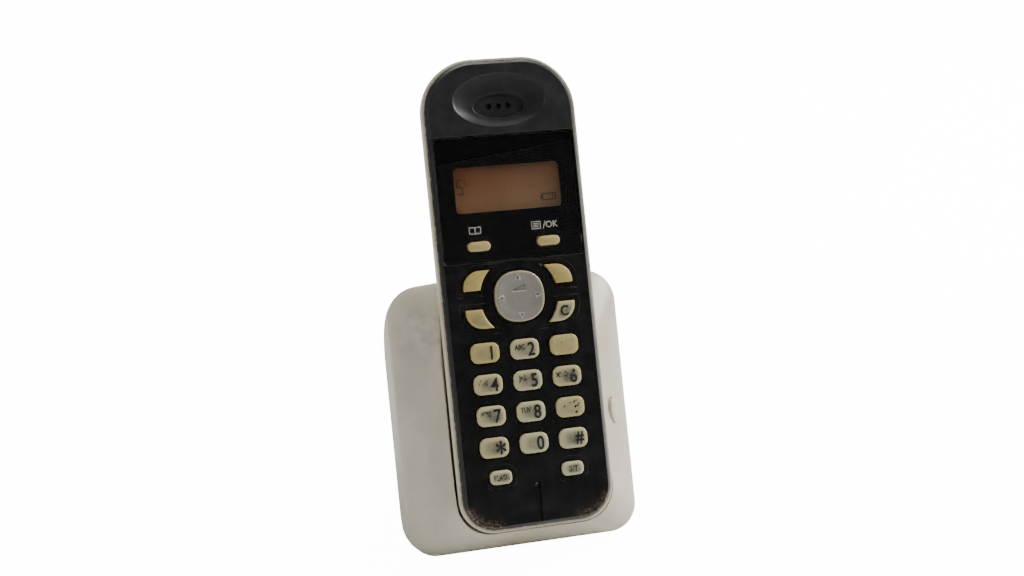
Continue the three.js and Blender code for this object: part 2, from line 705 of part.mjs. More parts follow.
const receiverFront = DISH_DEPTH + DISH_WALL + GAP;
addPiece(
  "earpiece_receiver",
  rodAlongY(0, DISH_FLOOR_CENTRE, RECEIVER_RADIUS, receiverFront, receiverFront + RECEIVER_THICKNESS, 24),
  DARK_PLASTIC,
);
addPiece(
  "microphone",
  rodAlongY(0, MIC_HEIGHT, MIC_RADIUS, FACE_WALL + GAP, FACE_WALL + GAP + MIC_THICKNESS),
  STEEL,
);
const matOutline = boxOutline(0, (MAT_BOTTOM + MAT_TOP) / 2, MAT_HALF_WIDTH, (MAT_TOP - MAT_BOTTOM) / 2, 4);
addPiece("keypad_mat", slab(matOutline, matFront, matFront + MAT_THICKNESS), RUBBER_GREY);
const boardOutline = boxOutline(
  0,
  (BOARD_BOTTOM + BOARD_TOP) / 2,
  BOARD_HALF_WIDTH,
  (BOARD_TOP - BOARD_BOTTOM) / 2,
  6,
);
addPiece("handset_board", slab(boardOutline, boardFront, boardBack), BOARD_GREEN);

// An L-shaped strip from the board up and across the top of the handset.
const antennaSide = block(
  ANTENNA_HALF_SPAN - ANTENNA_WIDTH,
  ANTENNA_HALF_SPAN,
  ANTENNA_DEPTH,
  ANTENNA_DEPTH + ANTENNA_THICKNESS,
  BOARD_TOP - 4,
  ANTENNA_TOP,
);
const antennaTop = block(
  -ANTENNA_HALF_SPAN,
  ANTENNA_HALF_SPAN,
  ANTENNA_DEPTH,
  ANTENNA_DEPTH + ANTENNA_THICKNESS,
  ANTENNA_TOP - ANTENNA_WIDTH,
  ANTENNA_TOP,
);
addPiece("antenna", join(antennaSide, antennaTop), GOLD);
addPiece(
  "ringer",
  rodAlongY(0, RINGER_HEIGHT, RINGER_RADIUS, RINGER_DEPTH, RINGER_DEPTH + RINGER_THICKNESS, 24),
  DARK_PLASTIC,
);

// ---------------------------------------------------------------- battery bay and back of the handset

const cellX = CELL_RADIUS + CELL_SPACING / 2;
const cellTop = CELL_BOTTOM + CELL_LENGTH;
for (const [name, side] of [["battery_cell_left", -1], ["battery_cell_right", 1]]) {
  const nubEnd = side > 0 ? [cellTop - 0.1, cellTop + CELL_NUB] : [CELL_BOTTOM - CELL_NUB, CELL_BOTTOM + 0.1];
  addPiece(
    name,
    join(
      rodAlongZ(side * cellX, CELL_DEPTH, CELL_RADIUS, CELL_BOTTOM, cellTop, 20),
      rodAlongZ(side * cellX, CELL_DEPTH, CELL_NUB_RADIUS, ...nubEnd, 12),
    ),
    CELL_GREEN,
  );
}

const bayHalfWidth = 2 * CELL_RADIUS + CELL_SPACING / 2 + BAY_SLACK;
const bayFront = CELL_DEPTH - CELL_RADIUS - BAY_SLACK;
const terminalRoom = CELL_NUB + TERMINAL_THICKNESS + 2 * GAP;
const bayBottom = CELL_BOTTOM - terminalRoom - GAP;
const bayTop = cellTop + terminalRoom + GAP;
const bayBlock = (grow, back) =>
  block(-bayHalfWidth - grow, bayHalfWidth + grow, bayFront - grow, back, bayBottom - grow, bayTop + grow);

const terminalHalfHeight = CELL_RADIUS * 0.7;
const terminal = (x0, x1, z) =>
  block(
    x0,
    x1,
    CELL_DEPTH - terminalHalfHeight,
    CELL_DEPTH + terminalHalfHeight,
    z,
    z + TERMINAL_THICKNESS,
  );
const linkHeight = CELL_BOTTOM - CELL_NUB - GAP - TERMINAL_THICKNESS;
const topTerminalHeight = cellTop + CELL_NUB + GAP;
addPiece("battery_link", terminal(-cellX - 3, cellX + 3, linkHeight), STEEL);
addPiece("battery_terminal_left", terminal(-cellX - 3, -cellX + 3, topTerminalHeight), STEEL);
addPiece("battery_terminal_right", terminal(cellX - 3, cellX + 3, topTerminalHeight), STEEL);

const long = 100;
// A straight-sided body along the handset, for pieces that slide along it.
const prism = (shrink) => backBody(shrink, RIM_DEPTH, long, long);
const coverZone = (grow, lower) =>
  block(
    -COVER_HALF_WIDTH - grow,
    COVER_HALF_WIDTH + grow,
    CELL_DEPTH - 4 - grow,
    HANDSET_DEPTH + 5,
    COVER_BOTTOM - grow - lower,
    COVER_TOP + grow,
  );
const seatShrink = COVER_WALL + GAP;
addPiece("battery_cover", cut(common(coverZone(0, 0), prism(0)), prism(COVER_WALL)), CREAM);

const contactZone = (side, grow) =>
  block(
    side * CONTACT_X - CONTACT_HALF_WIDTH - grow,
    side * CONTACT_X + CONTACT_HALF_WIDTH + grow,
    CONTACT_FRONT - grow,
    CONTACT_BACK + grow,
    RIM_BOTTOM - 5,
    BOARD_BOTTOM + 8,
  );
for (const [name, side] of [["charge_contact_left", -1], ["charge_contact_right", 1]]) {
  const skin = cut(backBody(0, RIM_DEPTH), backBody(CONTACT_THICKNESS, RIM_DEPTH - 1));
  addPiece(name, common(skin, contactZone(side, 0)), STEEL);
}

const rearBosses = screwSides.map((side) =>
  rodAlongY(
    side * HANDSET_SCREW_X,
    HANDSET_SCREW_HEIGHT,
    SCREW_HEAD_RADIUS + GAP + SCREW_BOSS_WALL,
    screwPostBack + GAP,
    HANDSET_DEPTH,
  ),
);
const headRecesses = screwSides.map((side) =>
  rodAlongY(
    side * HANDSET_SCREW_X,
    HANDSET_SCREW_HEIGHT,
    SCREW_HEAD_RADIUS + GAP,
    HANDSET_SCREW_HEAD_DEPTH - GAP,
    HANDSET_DEPTH + 1,
  ),
);
const rearShell = cut(backBody(0, RIM_DEPTH), backBody(REAR_WALL, RIM_DEPTH - 1));
const coverSeat = cut(
  common(coverZone(BAY_WALL, COVER_SLIDE + GAP), backBody(0, RIM_DEPTH)),
  prism(seatShrink + COVER_SEAT_WALL),
);
const bayWalls = common(bayBlock(BAY_WALL, HANDSET_DEPTH), backBody(0, RIM_DEPTH));
addPiece(
  "handset_rear_case",
  cut(
    join(rearShell, coverSeat, bayWalls, common(join(...rearBosses), backBody(0, RIM_DEPTH))),
    cut(coverZone(GAP, COVER_SLIDE + GAP), prism(seatShrink)),
    bayBlock(0, HANDSET_DEPTH + 1),
    ...headRecesses,
    ...screwBores,
    ...screwSides.map((side) => cut(contactZone(side, GAP), backBody(CONTACT_THICKNESS + GAP, RIM_DEPTH - 1))),
  ),
  CREAM,
);
for (const [name, side] of [["handset_screw_left", -1], ["handset_screw_right", 1]]) {
  const head = rodAlongY(
    side * HANDSET_SCREW_X,
    HANDSET_SCREW_HEIGHT,
    SCREW_HEAD_RADIUS,
    HANDSET_SCREW_HEAD_DEPTH,
    HANDSET_SCREW_HEAD_DEPTH + SCREW_HEAD_THICKNESS,
    12,
  );
  const shank = rodAlongY(
    side * HANDSET_SCREW_X,
    HANDSET_SCREW_HEIGHT,
    SCREW_RADIUS,
    boardBack,
    HANDSET_SCREW_HEAD_DEPTH + 0.1,
    8,
  );
  addPiece(name, join(head, shank), STEEL);
}

// ---------------------------------------------------------------- base mouldings

const rimDepth = (z) => BASE_RIM_DEPTH + BASE_RIM_SLOPE * Math.max(z - BASE_RIM_SLOPE_START, 0);
// Share of the way from the outline to the rim, and share of the rise there.
const flankProfile = [
  [1, 1],
  [0.63, 0.73],
  [0.29, 0.4],
  [0.055, 0.13],
  [0, 0],
];

const baseOutline = (inset, chinInset, bottomRadius) =>
  roundedOutline(
    BASE_HALF_WIDTH - inset,
    BASE_BOTTOM + chinInset,
    BASE_TOP - inset,
    bottomRadius,
    BASE_TOP_RADIUS,
    { crown: BASE_CROWN, topSteps: 6 },
  );

// The pillow in front of the widest outline, shrunk by a wall, down to a given back depth.
function pillow(shrink, back) {
  const rings = flankProfile.map(([across, up]) =>
    ringAt(
      baseOutline(
        shrink + BASE_FLANK_WIDTH * across,
        shrink + BASE_CHIN_HEIGHT * across,
        THREE.MathUtils.lerp(BASE_BOTTOM_RADIUS, BASE_RIM_BOTTOM_RADIUS, across),
      ),
      (z) => THREE.MathUtils.lerp(BASE_OUTLINE_DEPTH, rimDepth(z), up) + shrink,
    ),
  );
  rings.push(ringAt(baseOutline(shrink, shrink, BASE_BOTTOM_RADIUS), back));
  return loft(rings);
}

// The body behind the outline: it narrows and falls away towards the back.
function rearBody(shrink, front) {
  const rings = Array.from({ length: BASE_RINGS + 1 }, (_, i) => {
    const depth = THREE.MathUtils.lerp(front, BASE_REACH - shrink, i / BASE_RINGS);
    const share = Math.max(depth + shrink - BASE_SPLIT_DEPTH, 0) / (BASE_REACH - BASE_SPLIT_DEPTH);
    return ringAt(
      roundedOutline(
        BASE_HALF_WIDTH - shrink - BASE_BACK_NARROWING * share ** 1.8,
        BASE_BOTTOM + shrink - share * 4,
        BASE_TOP - shrink - BASE_BACK_DROP * share ** 1.75,
        BASE_BOTTOM_RADIUS,
        BASE_TOP_RADIUS + 4 * share,
        { crown: BASE_CROWN, topSteps: 6 },
      ),
      depth,
    );
  });
  return loft(rings);
}

const aboveTable = (height) => inLeaning(block(-long, long, -long, 2 * long, height, 3 * long));
const pocket = (grow) => backBody(-POCKET_CLEARANCE - grow, -5, long);
const trough = pocket(POCKET_WALL);
const coverBack = BASE_SPLIT_DEPTH - GAP / 2;
const caseFront = BASE_SPLIT_DEPTH + GAP / 2;
const wholeBase = join(pillow(0, BASE_SPLIT_DEPTH), rearBody(0, BASE_SPLIT_DEPTH - 1));

const bottomHeight = FOOT_HEIGHT + BASE_WALL;
const screwHeadBottom = FOOT_HEIGHT + GAP;
const screwHeadTop = screwHeadBottom + SCREW_HEAD_THICKNESS;
const screwBossTop = screwHeadTop + GAP + SCREW_BOSS_WALL;
const baseScrewTop = screwHeadTop + BASE_SCREW_LENGTH;
const tableRod = (x, y, radius, z0, z1, sides) => inLeaning(rodAlongZ(x, y, radius, z0, z1, sides));
const coverPosts = screwSides.map((side) =>
  tableRod(
    side * BASE_SCREW_X,
    BASE_SCREW_Y,
    SCREW_RADIUS + GAP + SCREW_BOSS_WALL + 0.6,
    screwBossTop + GAP,
    baseScrewTop + 10,
  ),
);
const postBores = screwSides.map((side) =>
  tableRod(side * BASE_SCREW_X, BASE_SCREW_Y, SCREW_RADIUS + GAP, 0, baseScrewTop + 1, 12),
);
const springSlots = screwSides.map((side) =>
  block(
    side * CONTACT_X - SPRING_HALF_WIDTH - GAP,
    side * CONTACT_X + SPRING_HALF_WIDTH + GAP,
    CONTACT_FRONT + SPRING_SLOT_INSET,
    CONTACT_BACK - SPRING_SLOT_INSET,
    RIM_BOTTOM - POCKET_CLEARANCE - POCKET_WALL,
    RIM_BOTTOM + 2 * POCKET_WALL + backInset(CONTACT_BACK),
  ),
);

// The button's own frame: its axis is square to the flank it comes through.
const pageShare = (BASE_HALF_WIDTH - PAGE_X) / BASE_FLANK_WIDTH;
function flankRise(share) {
  const after = flankProfile.findIndex(([across]) => across <= share);
  const [a0, u0] = flankProfile[after - 1];
  const [a1, u1] = flankProfile[after];
  return THREE.MathUtils.mapLinear(share, a0, a1, u0, u1);
}
const rise = BASE_OUTLINE_DEPTH - rimDepth(PAGE_HEIGHT);
const pageDepth = BASE_OUTLINE_DEPTH - rise * flankRise(pageShare);
const sampleShare = PAGE_HALF_WIDTH / BASE_FLANK_WIDTH / 2;
const slope =
  (rise * (flankRise(pageShare + sampleShare) - flankRise(pageShare - sampleShare))) /
  (2 * sampleShare * BASE_FLANK_WIDTH);
const pageAngle = Math.atan(slope);
const pageFrame = new THREE.Matrix4().makeRotationZ(pageAngle).setPosition(PAGE_X, pageDepth, PAGE_HEIGHT);
const pageOutline = (grow) => ellipseOutline(0, 0, PAGE_HALF_WIDTH + grow, PAGE_HALF_HEIGHT + grow, 20);
const pageFlangeFront = BASE_WALL + GAP + 0.3;
const pageFlangeBack = pageFlangeFront + PAGE_FLANGE_THICKNESS;
const pageHole = slab(pageOutline(KEY_CLEARANCE), -5, pageFlangeBack).applyMatrix4(pageFrame);
const pageRelief = slab(pageOutline(PAGE_FLANGE + GAP), pageFlangeFront - GAP, pageFlangeBack + PAGE_TRAVEL)
  .applyMatrix4(pageFrame);

addPiece(
  "base_front_cover",
  cut(
    common(
      join(
        cut(pillow(0, coverBack), pillow(BASE_WALL, coverBack + 5)),
        common(trough, wholeBase),
        ...coverPosts.map((post) => common(post, wholeBase)),
      ),
      aboveTable(FOOT_HEIGHT),
    ),
    pocket(0),
    ...postBores,
    ...springSlots,
    pageHole,
    pageRelief,
  ),
  BASE_GREY,
);

const feet = [
  ["foot_front_left", -FRONT_FOOT_X, FRONT_FOOT_Y],
  ["foot_front_right", FRONT_FOOT_X, FRONT_FOOT_Y],
  ["foot_rear_left", -REAR_FOOT_X, REAR_FOOT_Y],
  ["foot_rear_right", REAR_FOOT_X, REAR_FOOT_Y],
];
for (const [name, x, y] of feet) {
  addPiece(name, rodAlongZ(x, y, FOOT_RADIUS, 0, FOOT_HEIGHT + FOOT_RECESS - GAP, 20), RUBBER_DARK, standing);
}

const boardPosts = [-1, 1].flatMap((side) =>
  [BASE_BOARD_FRONT + BOARD_POST_INSET, BASE_BOARD_BACK - BOARD_POST_INSET].map((y) =>
    tableRod(
      side * (BASE_BOARD_HALF_WIDTH - BOARD_POST_INSET),
      y,
      BOARD_POST_RADIUS,
      bottomHeight - 0.5,
      BASE_BOARD_Z - GAP,
      10,
    ),
  ),
);
const baseBosses = screwSides.map((side) =>
  tableRod(
    side * BASE_SCREW_X,
    BASE_SCREW_Y,
    SCREW_HEAD_RADIUS + GAP + SCREW_BOSS_WALL,
    FOOT_HEIGHT + 0.5,
    screwBossTop,
  ),
);
const socketZ = BASE_BOARD_Z + BOARD_THICKNESS + GAP;
const socketHole = (x, width, height) =>
  inLeaning(
    block(
      x - width / 2 - GAP,
      x + width / 2 + GAP,
      SOCKET_FACE_Y - 8,
      SOCKET_FACE_Y + 12,
      socketZ - GAP,
      socketZ + height + GAP,
    ),
  );
addPiece(
  "base_rear_case",
  cut(
    common(
      join(
        cut(rearBody(0, caseFront), common(rearBody(BASE_WALL, caseFront - 3), aboveTable(bottomHeight))),
        ...boardPosts,
        ...baseBosses,
      ),
      aboveTable(FOOT_HEIGHT),
      rearBody(0, caseFront),
    ),
    pocket(POCKET_WALL + GAP),
    ...feet.map(([, x, y]) => tableRod(x, y, FOOT_RADIUS + GAP, 0, FOOT_HEIGHT + FOOT_RECESS, 20)),
    ...screwSides.map((side) =>
      tableRod(side * BASE_SCREW_X, BASE_SCREW_Y, SCREW_HEAD_RADIUS + GAP, 0, screwHeadTop + GAP, 12),
    ),
    ...postBores,
    socketHole(LINE_SOCKET_X, LINE_SOCKET_WIDTH, LINE_SOCKET_HEIGHT),
    socketHole(INLET_X, INLET_WIDTH, INLET_HEIGHT),
  ),
  BASE_GREY,
);

for (const [name, side] of [["base_screw_left", -1], ["base_screw_right", 1]]) {
  const x = side * BASE_SCREW_X;
  const head = rodAlongZ(x, BASE_SCREW_Y, SCREW_HEAD_RADIUS, screwHeadBottom, screwHeadTop, 12);
  const shank = rodAlongZ(x, BASE_SCREW_Y, SCREW_RADIUS, screwHeadTop - 0.1, baseScrewTop, 8);
  addPiece(name, join(head, shank), STEEL, standing);
}
addPiece(
  "base_board",
  block(
    -BASE_BOARD_HALF_WIDTH,
    BASE_BOARD_HALF_WIDTH,
    BASE_BOARD_FRONT,
    BASE_BOARD_BACK,
    BASE_BOARD_Z,
    BASE_BOARD_Z + BOARD_THICKNESS,
  ),
  BOARD_GREEN,
  standing,
);

// Modular telephone socket with a latch keyway above the opening.
const openingZ = socketZ + LINE_OPENING_SILL;
const openingFront = SOCKET_FACE_Y - LINE_OPENING_DEPTH;
addPiece(
  "line_socket",
  cut(
    block(
      LINE_SOCKET_X - LINE_SOCKET_WIDTH / 2,
      LINE_SOCKET_X + LINE_SOCKET_WIDTH / 2,
      SOCKET_FACE_Y - LINE_SOCKET_LENGTH,
      SOCKET_FACE_Y,
      socketZ,
      socketZ + LINE_SOCKET_HEIGHT,
    ),
    block(
      LINE_SOCKET_X - LINE_OPENING_WIDTH / 2,
      LINE_SOCKET_X + LINE_OPENING_WIDTH / 2,
      openingFront,
      SOCKET_FACE_Y + 1,
      openingZ,
      openingZ + LINE_OPENING_HEIGHT,
    ),
    block(
      LINE_SOCKET_X - LINE_KEYWAY_WIDTH / 2,
      LINE_SOCKET_X + LINE_KEYWAY_WIDTH / 2,
      openingFront,
      SOCKET_FACE_Y + 1,
      openingZ + LINE_OPENING_HEIGHT - 0.1,
      openingZ + LINE_OPENING_HEIGHT + LINE_KEYWAY_HEIGHT,
    ),
  ),
  DARK_PLASTIC,
  standing,
);

// Barrel inlet for the supply lead.
const inletZ = socketZ + INLET_HEIGHT / 2;
const inletBottom = SOCKET_FACE_Y - INLET_BORE_DEPTH;
addPiece(
  "power_inlet",
  join(
    cut(
      block(
        INLET_X - INLET_WIDTH / 2,
        INLET_X + INLET_WIDTH / 2,
        SOCKET_FACE_Y - INLET_LENGTH,
        SOCKET_FACE_Y,
        socketZ,
        socketZ + INLET_HEIGHT,
      ),
      rodAlongY(INLET_X, inletZ, INLET_BORE_RADIUS, inletBottom, SOCKET_FACE_Y + 1, 20),
    ),
    rodAlongY(INLET_X, inletZ, INLET_PIN_RADIUS, inletBottom - 0.5, SOCKET_FACE_Y - 1.5, 10),
  ),
  DARK_PLASTIC,
  standing,
);

// Leaf springs that rise through the floor of the pocket to the handset's contacts.
const contactMiddle = (CONTACT_FRONT + CONTACT_BACK) / 2;
const contactFloor = (depth) => RIM_BOTTOM + backInset(depth);
for (const [name, side] of [["charge_spring_left", -1], ["charge_spring_right", 1]]) {
  const crest = contactFloor(contactMiddle) - GAP - SPRING_THICKNESS;
  const below = contactFloor(contactMiddle) - POCKET_CLEARANCE - POCKET_WALL - GAP - 1.4;
  const leaf = [
    [contactMiddle - 1.9, below],
    [contactMiddle - 1.2, crest - 0.5],
    [contactMiddle, crest],
    [contactMiddle + 1.2, crest - 0.3],
    [contactMiddle + 2.0, below],
    [contactMiddle + SPRING_TAIL, below + 0.4],
  ];
  const x = side * CONTACT_X;
  addPiece(name, bentStrip(leaf, SPRING_THICKNESS, x - SPRING_HALF_WIDTH, x + SPRING_HALF_WIDTH), GOLD);
}

addPiece(
  "page_button",
  loft([
    ringAt(pageOutline(-KEY_EDGE), -PAGE_PROUD),
    ringAt(pageOutline(0), KEY_EDGE - PAGE_PROUD),
    ringAt(pageOutline(0), pageFlangeFront),
    ringAt(pageOutline(PAGE_FLANGE), pageFlangeFront),
    ringAt(pageOutline(PAGE_FLANGE), pageFlangeBack),
  ]).applyMatrix4(pageFrame),
  BASE_GREY,
);
const pageSwitchFront = pageFlangeBack + PAGE_TRAVEL + GAP;
addPiece(
  "page_switch",
  block(
    -PAGE_SWITCH_HALF,
    PAGE_SWITCH_HALF,
    pageSwitchFront,
    pageSwitchFront + PAGE_SWITCH_THICKNESS,
    -PAGE_SWITCH_HALF,
    PAGE_SWITCH_HALF,
  ).applyMatrix4(pageFrame),
  DARK_PLASTIC,
);

// The footprint's middle is the origin.
assembly.updateMatrixWorld(true);
const bounds = new THREE.Box3().setFromObject(assembly, true);
assembly.position.y = -(bounds.min.y + bounds.max.y) / 2;

export default assembly;
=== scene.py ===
"""A cordless handset standing in its charging base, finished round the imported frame."""

import json
import math

import bmesh
import bpy
import numpy as np
from mathutils import Matrix, Vector


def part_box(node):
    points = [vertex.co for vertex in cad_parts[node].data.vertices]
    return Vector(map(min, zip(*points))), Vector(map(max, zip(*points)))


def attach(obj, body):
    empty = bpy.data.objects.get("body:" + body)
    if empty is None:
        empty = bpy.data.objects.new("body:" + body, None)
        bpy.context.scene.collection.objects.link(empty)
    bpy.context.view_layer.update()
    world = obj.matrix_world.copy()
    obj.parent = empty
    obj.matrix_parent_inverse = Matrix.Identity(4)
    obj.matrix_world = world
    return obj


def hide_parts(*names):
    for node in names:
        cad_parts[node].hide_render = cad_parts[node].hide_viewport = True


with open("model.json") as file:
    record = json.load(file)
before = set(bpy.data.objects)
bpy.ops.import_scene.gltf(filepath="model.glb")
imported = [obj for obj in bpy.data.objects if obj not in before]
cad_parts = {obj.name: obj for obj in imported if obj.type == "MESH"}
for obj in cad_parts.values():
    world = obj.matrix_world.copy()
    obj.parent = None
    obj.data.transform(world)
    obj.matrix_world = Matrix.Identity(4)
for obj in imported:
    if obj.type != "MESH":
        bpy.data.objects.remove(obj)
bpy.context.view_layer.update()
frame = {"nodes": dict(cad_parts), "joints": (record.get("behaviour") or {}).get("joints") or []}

# ================================================================== the leaning frame
# x runs across, depth runs back from the flat face of the handset, and height runs up along it,
# all in millimetres. The slide of the handset gives the direction, its rocking key the place.

MM = 0.001
NAV_CENTRE = 70.0
NAV_PIVOT_DEPTH = 4.3
joints = {joint["name"]: joint for joint in frame["joints"]}
UP = np.array(joints["handset_lift"]["axis"], float)
INWARD = np.array([0.0, UP[2], -UP[1]])
NAV_PIVOT = np.array(joints["nav_key_rock_up_down"]["pos_m"], float)
ORIGIN = NAV_PIVOT - (NAV_CENTRE * UP + NAV_PIVOT_DEPTH * INWARD) * MM
LEAN = math.atan2(UP[1], UP[2])


def place(x, depth, height):
    """World points in metres: origin + x across + depth times inward + height times up, over whole arrays."""
    x, depth, height = np.broadcast_arrays(x, depth, height)
    across = np.stack([x, np.zeros(x.shape), np.zeros(x.shape)], -1)
    return ORIGIN + MM * (across + depth[..., None] * INWARD + height[..., None] * UP)


def leaning(points):
    """The (x, depth, height) in millimetres of world points, the inverse of place."""
    local = (points - ORIGIN) / MM
    return local[..., 0], local @ INWARD, local @ UP


def mesh_points(mesh):
    """The places of a mesh's vertices, one row each."""
    points = np.empty(len(mesh.vertices) * 3)
    mesh.vertices.foreach_get("co", points)
    return points.reshape(-1, 3)


def node_span(node):
    """Lowest and highest (x, depth, height) of a CAD node, in millimetres."""
    spans = [(values.min(), values.max()) for values in leaning(mesh_points(frame["nodes"][node].data))]
    return np.array(spans).T


# ================================================================== sizes, in millimetres

rim_low, rim_high = node_span("handset_rear_case")
RIM_HALF_WIDTH = rim_high[0]
RIM_DEPTH = rim_low[1]
RIM_BOTTOM = rim_low[2]
RIM_TOP = rim_high[2]
HANDSET_DEPTH = rim_high[1]
BOTTOM_RADIUS = 10.6
TOP_RADIUS = 16.6
BACK_DRAFT = 0.28
BACK_ROUND = 8.5
BACK_SWELL = 0.5
DRAFT_START = 5.0
REAR_WALL = 1.8
FACE_SET_BACK = 0.9
FACE_WALL = 2.4
LIP_WALL = 1.2
LIP_DEPTH = 5.0
GAP = 0.3

lens_low, lens_high = node_span("display_lens")
LENS_HALF = (lens_high[0], (lens_high[2] - lens_low[2]) / 2)
LENS_MIDDLE = (lens_high[2] + lens_low[2]) / 2
LENS_THICKNESS = 0.8
LENS_SEAT = 1.6
WINDOW_HALF = (16.6, 6.95)
WINDOW_MIDDLE = 103.35
WINDOW_CORNER = 1.2

KEY_PROUD = 1.0
KEY_CLEARANCE = 0.3
KEY_FLANGE = 0.7
FLANGE_FRONT = FACE_WALL + GAP
FLANGE_BACK = FLANGE_FRONT + 0.8
NAV_HALF_WIDTH = 7.77
NAV_SQUARENESS = 2.35
NAV_CLEARANCE = 0.45
NAV_FLANGE_FRONT = 3.1
NAV_FLANGE_BACK = 3.9

_, base_high = node_span("base_front_cover")
BASE_HALF_WIDTH = base_high[0]
BASE_BOTTOM = -9.0
BASE_TOP = 77.4
BASE_CROWN = 2.2
BASE_TOP_RADIUS = 9.5
BASE_BOTTOM_RADIUS = 9.0
BASE_RIM_BOTTOM_RADIUS = 11.2
BASE_OUTLINE_DEPTH = 22.7
BASE_SPLIT_DEPTH = 24.0
BASE_REACH = 89.0
BASE_BACK_NARROWING = 11.0
BASE_BACK_DROP = 59.0
BASE_RIM_DEPTH = 3.0
BASE_RIM_SLOPE = 0.165
BASE_RIM_SLOPE_START = 8.0
BASE_FLANK_WIDTH = 13.2
BASE_CHIN_HEIGHT = 8.3
BASE_WALL = 2.0
POCKET_CLEARANCE = 0.5
POCKET_WALL = 1.5
TABLE_GAP = 1.45

# ================================================================== outlines


def arc(x, z, radius, start, end, steps):
    """x + r cos a, z + r sin a for a from start to end degrees."""
    a = np.radians(np.linspace(start, end, steps + 1))
    return np.stack([x + radius * np.cos(a), z + radius * np.sin(a)], -1)


def stretch(a, b, steps):
    """The inner points of a straight stretch from a to b, without its ends."""
    share = np.linspace(0, 1, steps + 1)[1:-1, None]
    return np.asarray(a) * (1 - share) + np.asarray(b) * share


def rounded_outline(half_width, bottom, top, low, high, crown=0.0, x=0.0, corner=10, side=6, across=6):
    """A rounded rectangle, anticlockwise from its bottom right: four quarter arcs joined by straight
    stretches. Points of the upper half drop by crown times (x / half width) squared."""
    fits = min(1.0, 0.98 * (top - bottom) / (low + high))
    low, high = min(low * fits, 0.98 * half_width), min(high * fits, 0.98 * half_width)
    arcs = [
        arc(half_width - low, bottom + low, low, -90, 0, corner),
        arc(half_width - high, top - high, high, 0, 90, corner),
        arc(high - half_width, top - high, high, 90, 180, corner),
        arc(low - half_width, bottom + low, low, 180, 270, corner),
    ]
    steps = [side, across, side, across]
    runs = [stretch(arcs[i][-1], arcs[(i + 1) % 4][0], steps[i]) for i in range(4)]
    points = np.concatenate([p for pair in zip(arcs, runs) for p in pair])
    upper = points[:, 1] > (bottom + top) / 2
    points[:, 1] -= crown * upper * (points[:, 0] / half_width) ** 2
    points[:, 0] += x
    return points


def box_outline(x, z, half, corner, grow=0.0):
    """A rounded rectangle about (x, z), grown evenly."""
    return rounded_outline(
        half[0] + grow, z - half[1] - grow, z + half[1] + grow, corner + grow, corner + grow,
        x=x, corner=6, side=2, across=3,
    )


def ellipse(x, z, rx, rz, count=48):
    """x + rx cos a, z + rz sin a at even angles."""
    a = np.linspace(0, 2 * np.pi, count, endpoint=False)
    return np.stack([x + rx * np.cos(a), z + rz * np.sin(a)], -1)


def disc(x, z, radius, count):
    """A circle about (x, z)."""
    return ellipse(x, z, radius, radius, count)


def superellipse(half, power):
    """|x / half|^n + |z / half|^n = 1 about the navigation key's centre, at even angles."""
    a = np.linspace(0, 2 * np.pi, 72, endpoint=False)
    r = half / (np.abs(np.cos(a)) ** power + np.abs(np.sin(a)) ** power) ** (1 / power)
    return np.stack([r * np.cos(a), NAV_CENTRE + r * np.sin(a)], -1)


CORNER_INNER, CORNER_NEAR, CORNER_FAR, CORNER_SIDE, CORNER_ROUND = 12.3, 2.85, 8.8, 17.1, 5.2


def corner_key_outline(side_x, side_z, grow):
    """A key beside the navigation key: an arc about its centre, two straight edges and a big outer corner."""
    near, far = CORNER_NEAR - grow, CORNER_FAR + grow
    side, inner, big = CORNER_SIDE + grow, max(CORNER_INNER - grow, far + 0.2), CORNER_ROUND + grow
    start, end = math.degrees(math.asin(near / inner)), math.degrees(math.asin(far / inner))
    outer = arc(side - big, far - big, big, 0, 90, 10)
    concave = arc(0, 0, inner, end, start, 12)
    foot = np.array([side, near])
    points = np.concatenate([
        foot[None], stretch(foot, outer[0], 3), outer, stretch(outer[-1], concave[0], 3),
        concave, stretch(concave[-1], foot, 4),
    ])
    points = points * (side_x, side_z)
    return (points[::-1] if side_x * side_z < 0 else points) + (0, NAV_CENTRE)


# ================================================================== meshes


def new_piece(name, points, faces, angle=35.0):
    """A mesh from points and faces, shaded smooth except where faces meet at more than an angle."""
    mesh = bpy.data.meshes.new(name)
    mesh.from_pydata(points.reshape(-1, 3).tolist(), [], faces)
    piece = bpy.data.objects.new(name, mesh)
    bpy.context.scene.collection.objects.link(piece)
    shade(piece, angle)
    return piece


def shade(piece, angle=35.0):
    """Smooth everywhere but where faces meet at more than an angle."""
    piece.data.shade_smooth()
    piece.data.set_sharp_from_angle(angle=math.radians(angle))


def ring_faces(rings, count, closed_ends=True):
    """Quads between rings of count points, front ring first, and one face over each end."""
    r, i = np.meshgrid(np.arange(rings - 1), np.arange(count), indexing="ij")
    j = (i + 1) % count
    quads = np.stack([r * count + i, (r + 1) * count + i, (r + 1) * count + j, r * count + j], -1)
    faces = quads.reshape(-1, 4).tolist()
    if closed_ends:
        faces.append(list(range(count)))
        faces.append(list(range((rings - 1) * count, rings * count))[::-1])
    return faces


def loft(name, rings):
    """Skins a row of (outline, depth) rings with one number of points, from front to back."""
    points = np.stack([place(outline[:, 0], depth, outline[:, 1]) for outline, depth in rings])
    return new_piece(name, points, ring_faces(len(rings), points.shape[1]))


def slab(name, outline, front, back):
    """An outline carried straight back from one depth to another."""
    return loft(name, [(outline, front), (outline, back)])


def block(name, x0, x1, d0, d1, z0, z1):
    """A box squared to the handset, given by its limits across, in depth and in height."""
    outline = np.array([[x1, z0], [x1, z1], [x0, z1], [x0, z0]], float)
    return slab(name, outline, d0, d1)


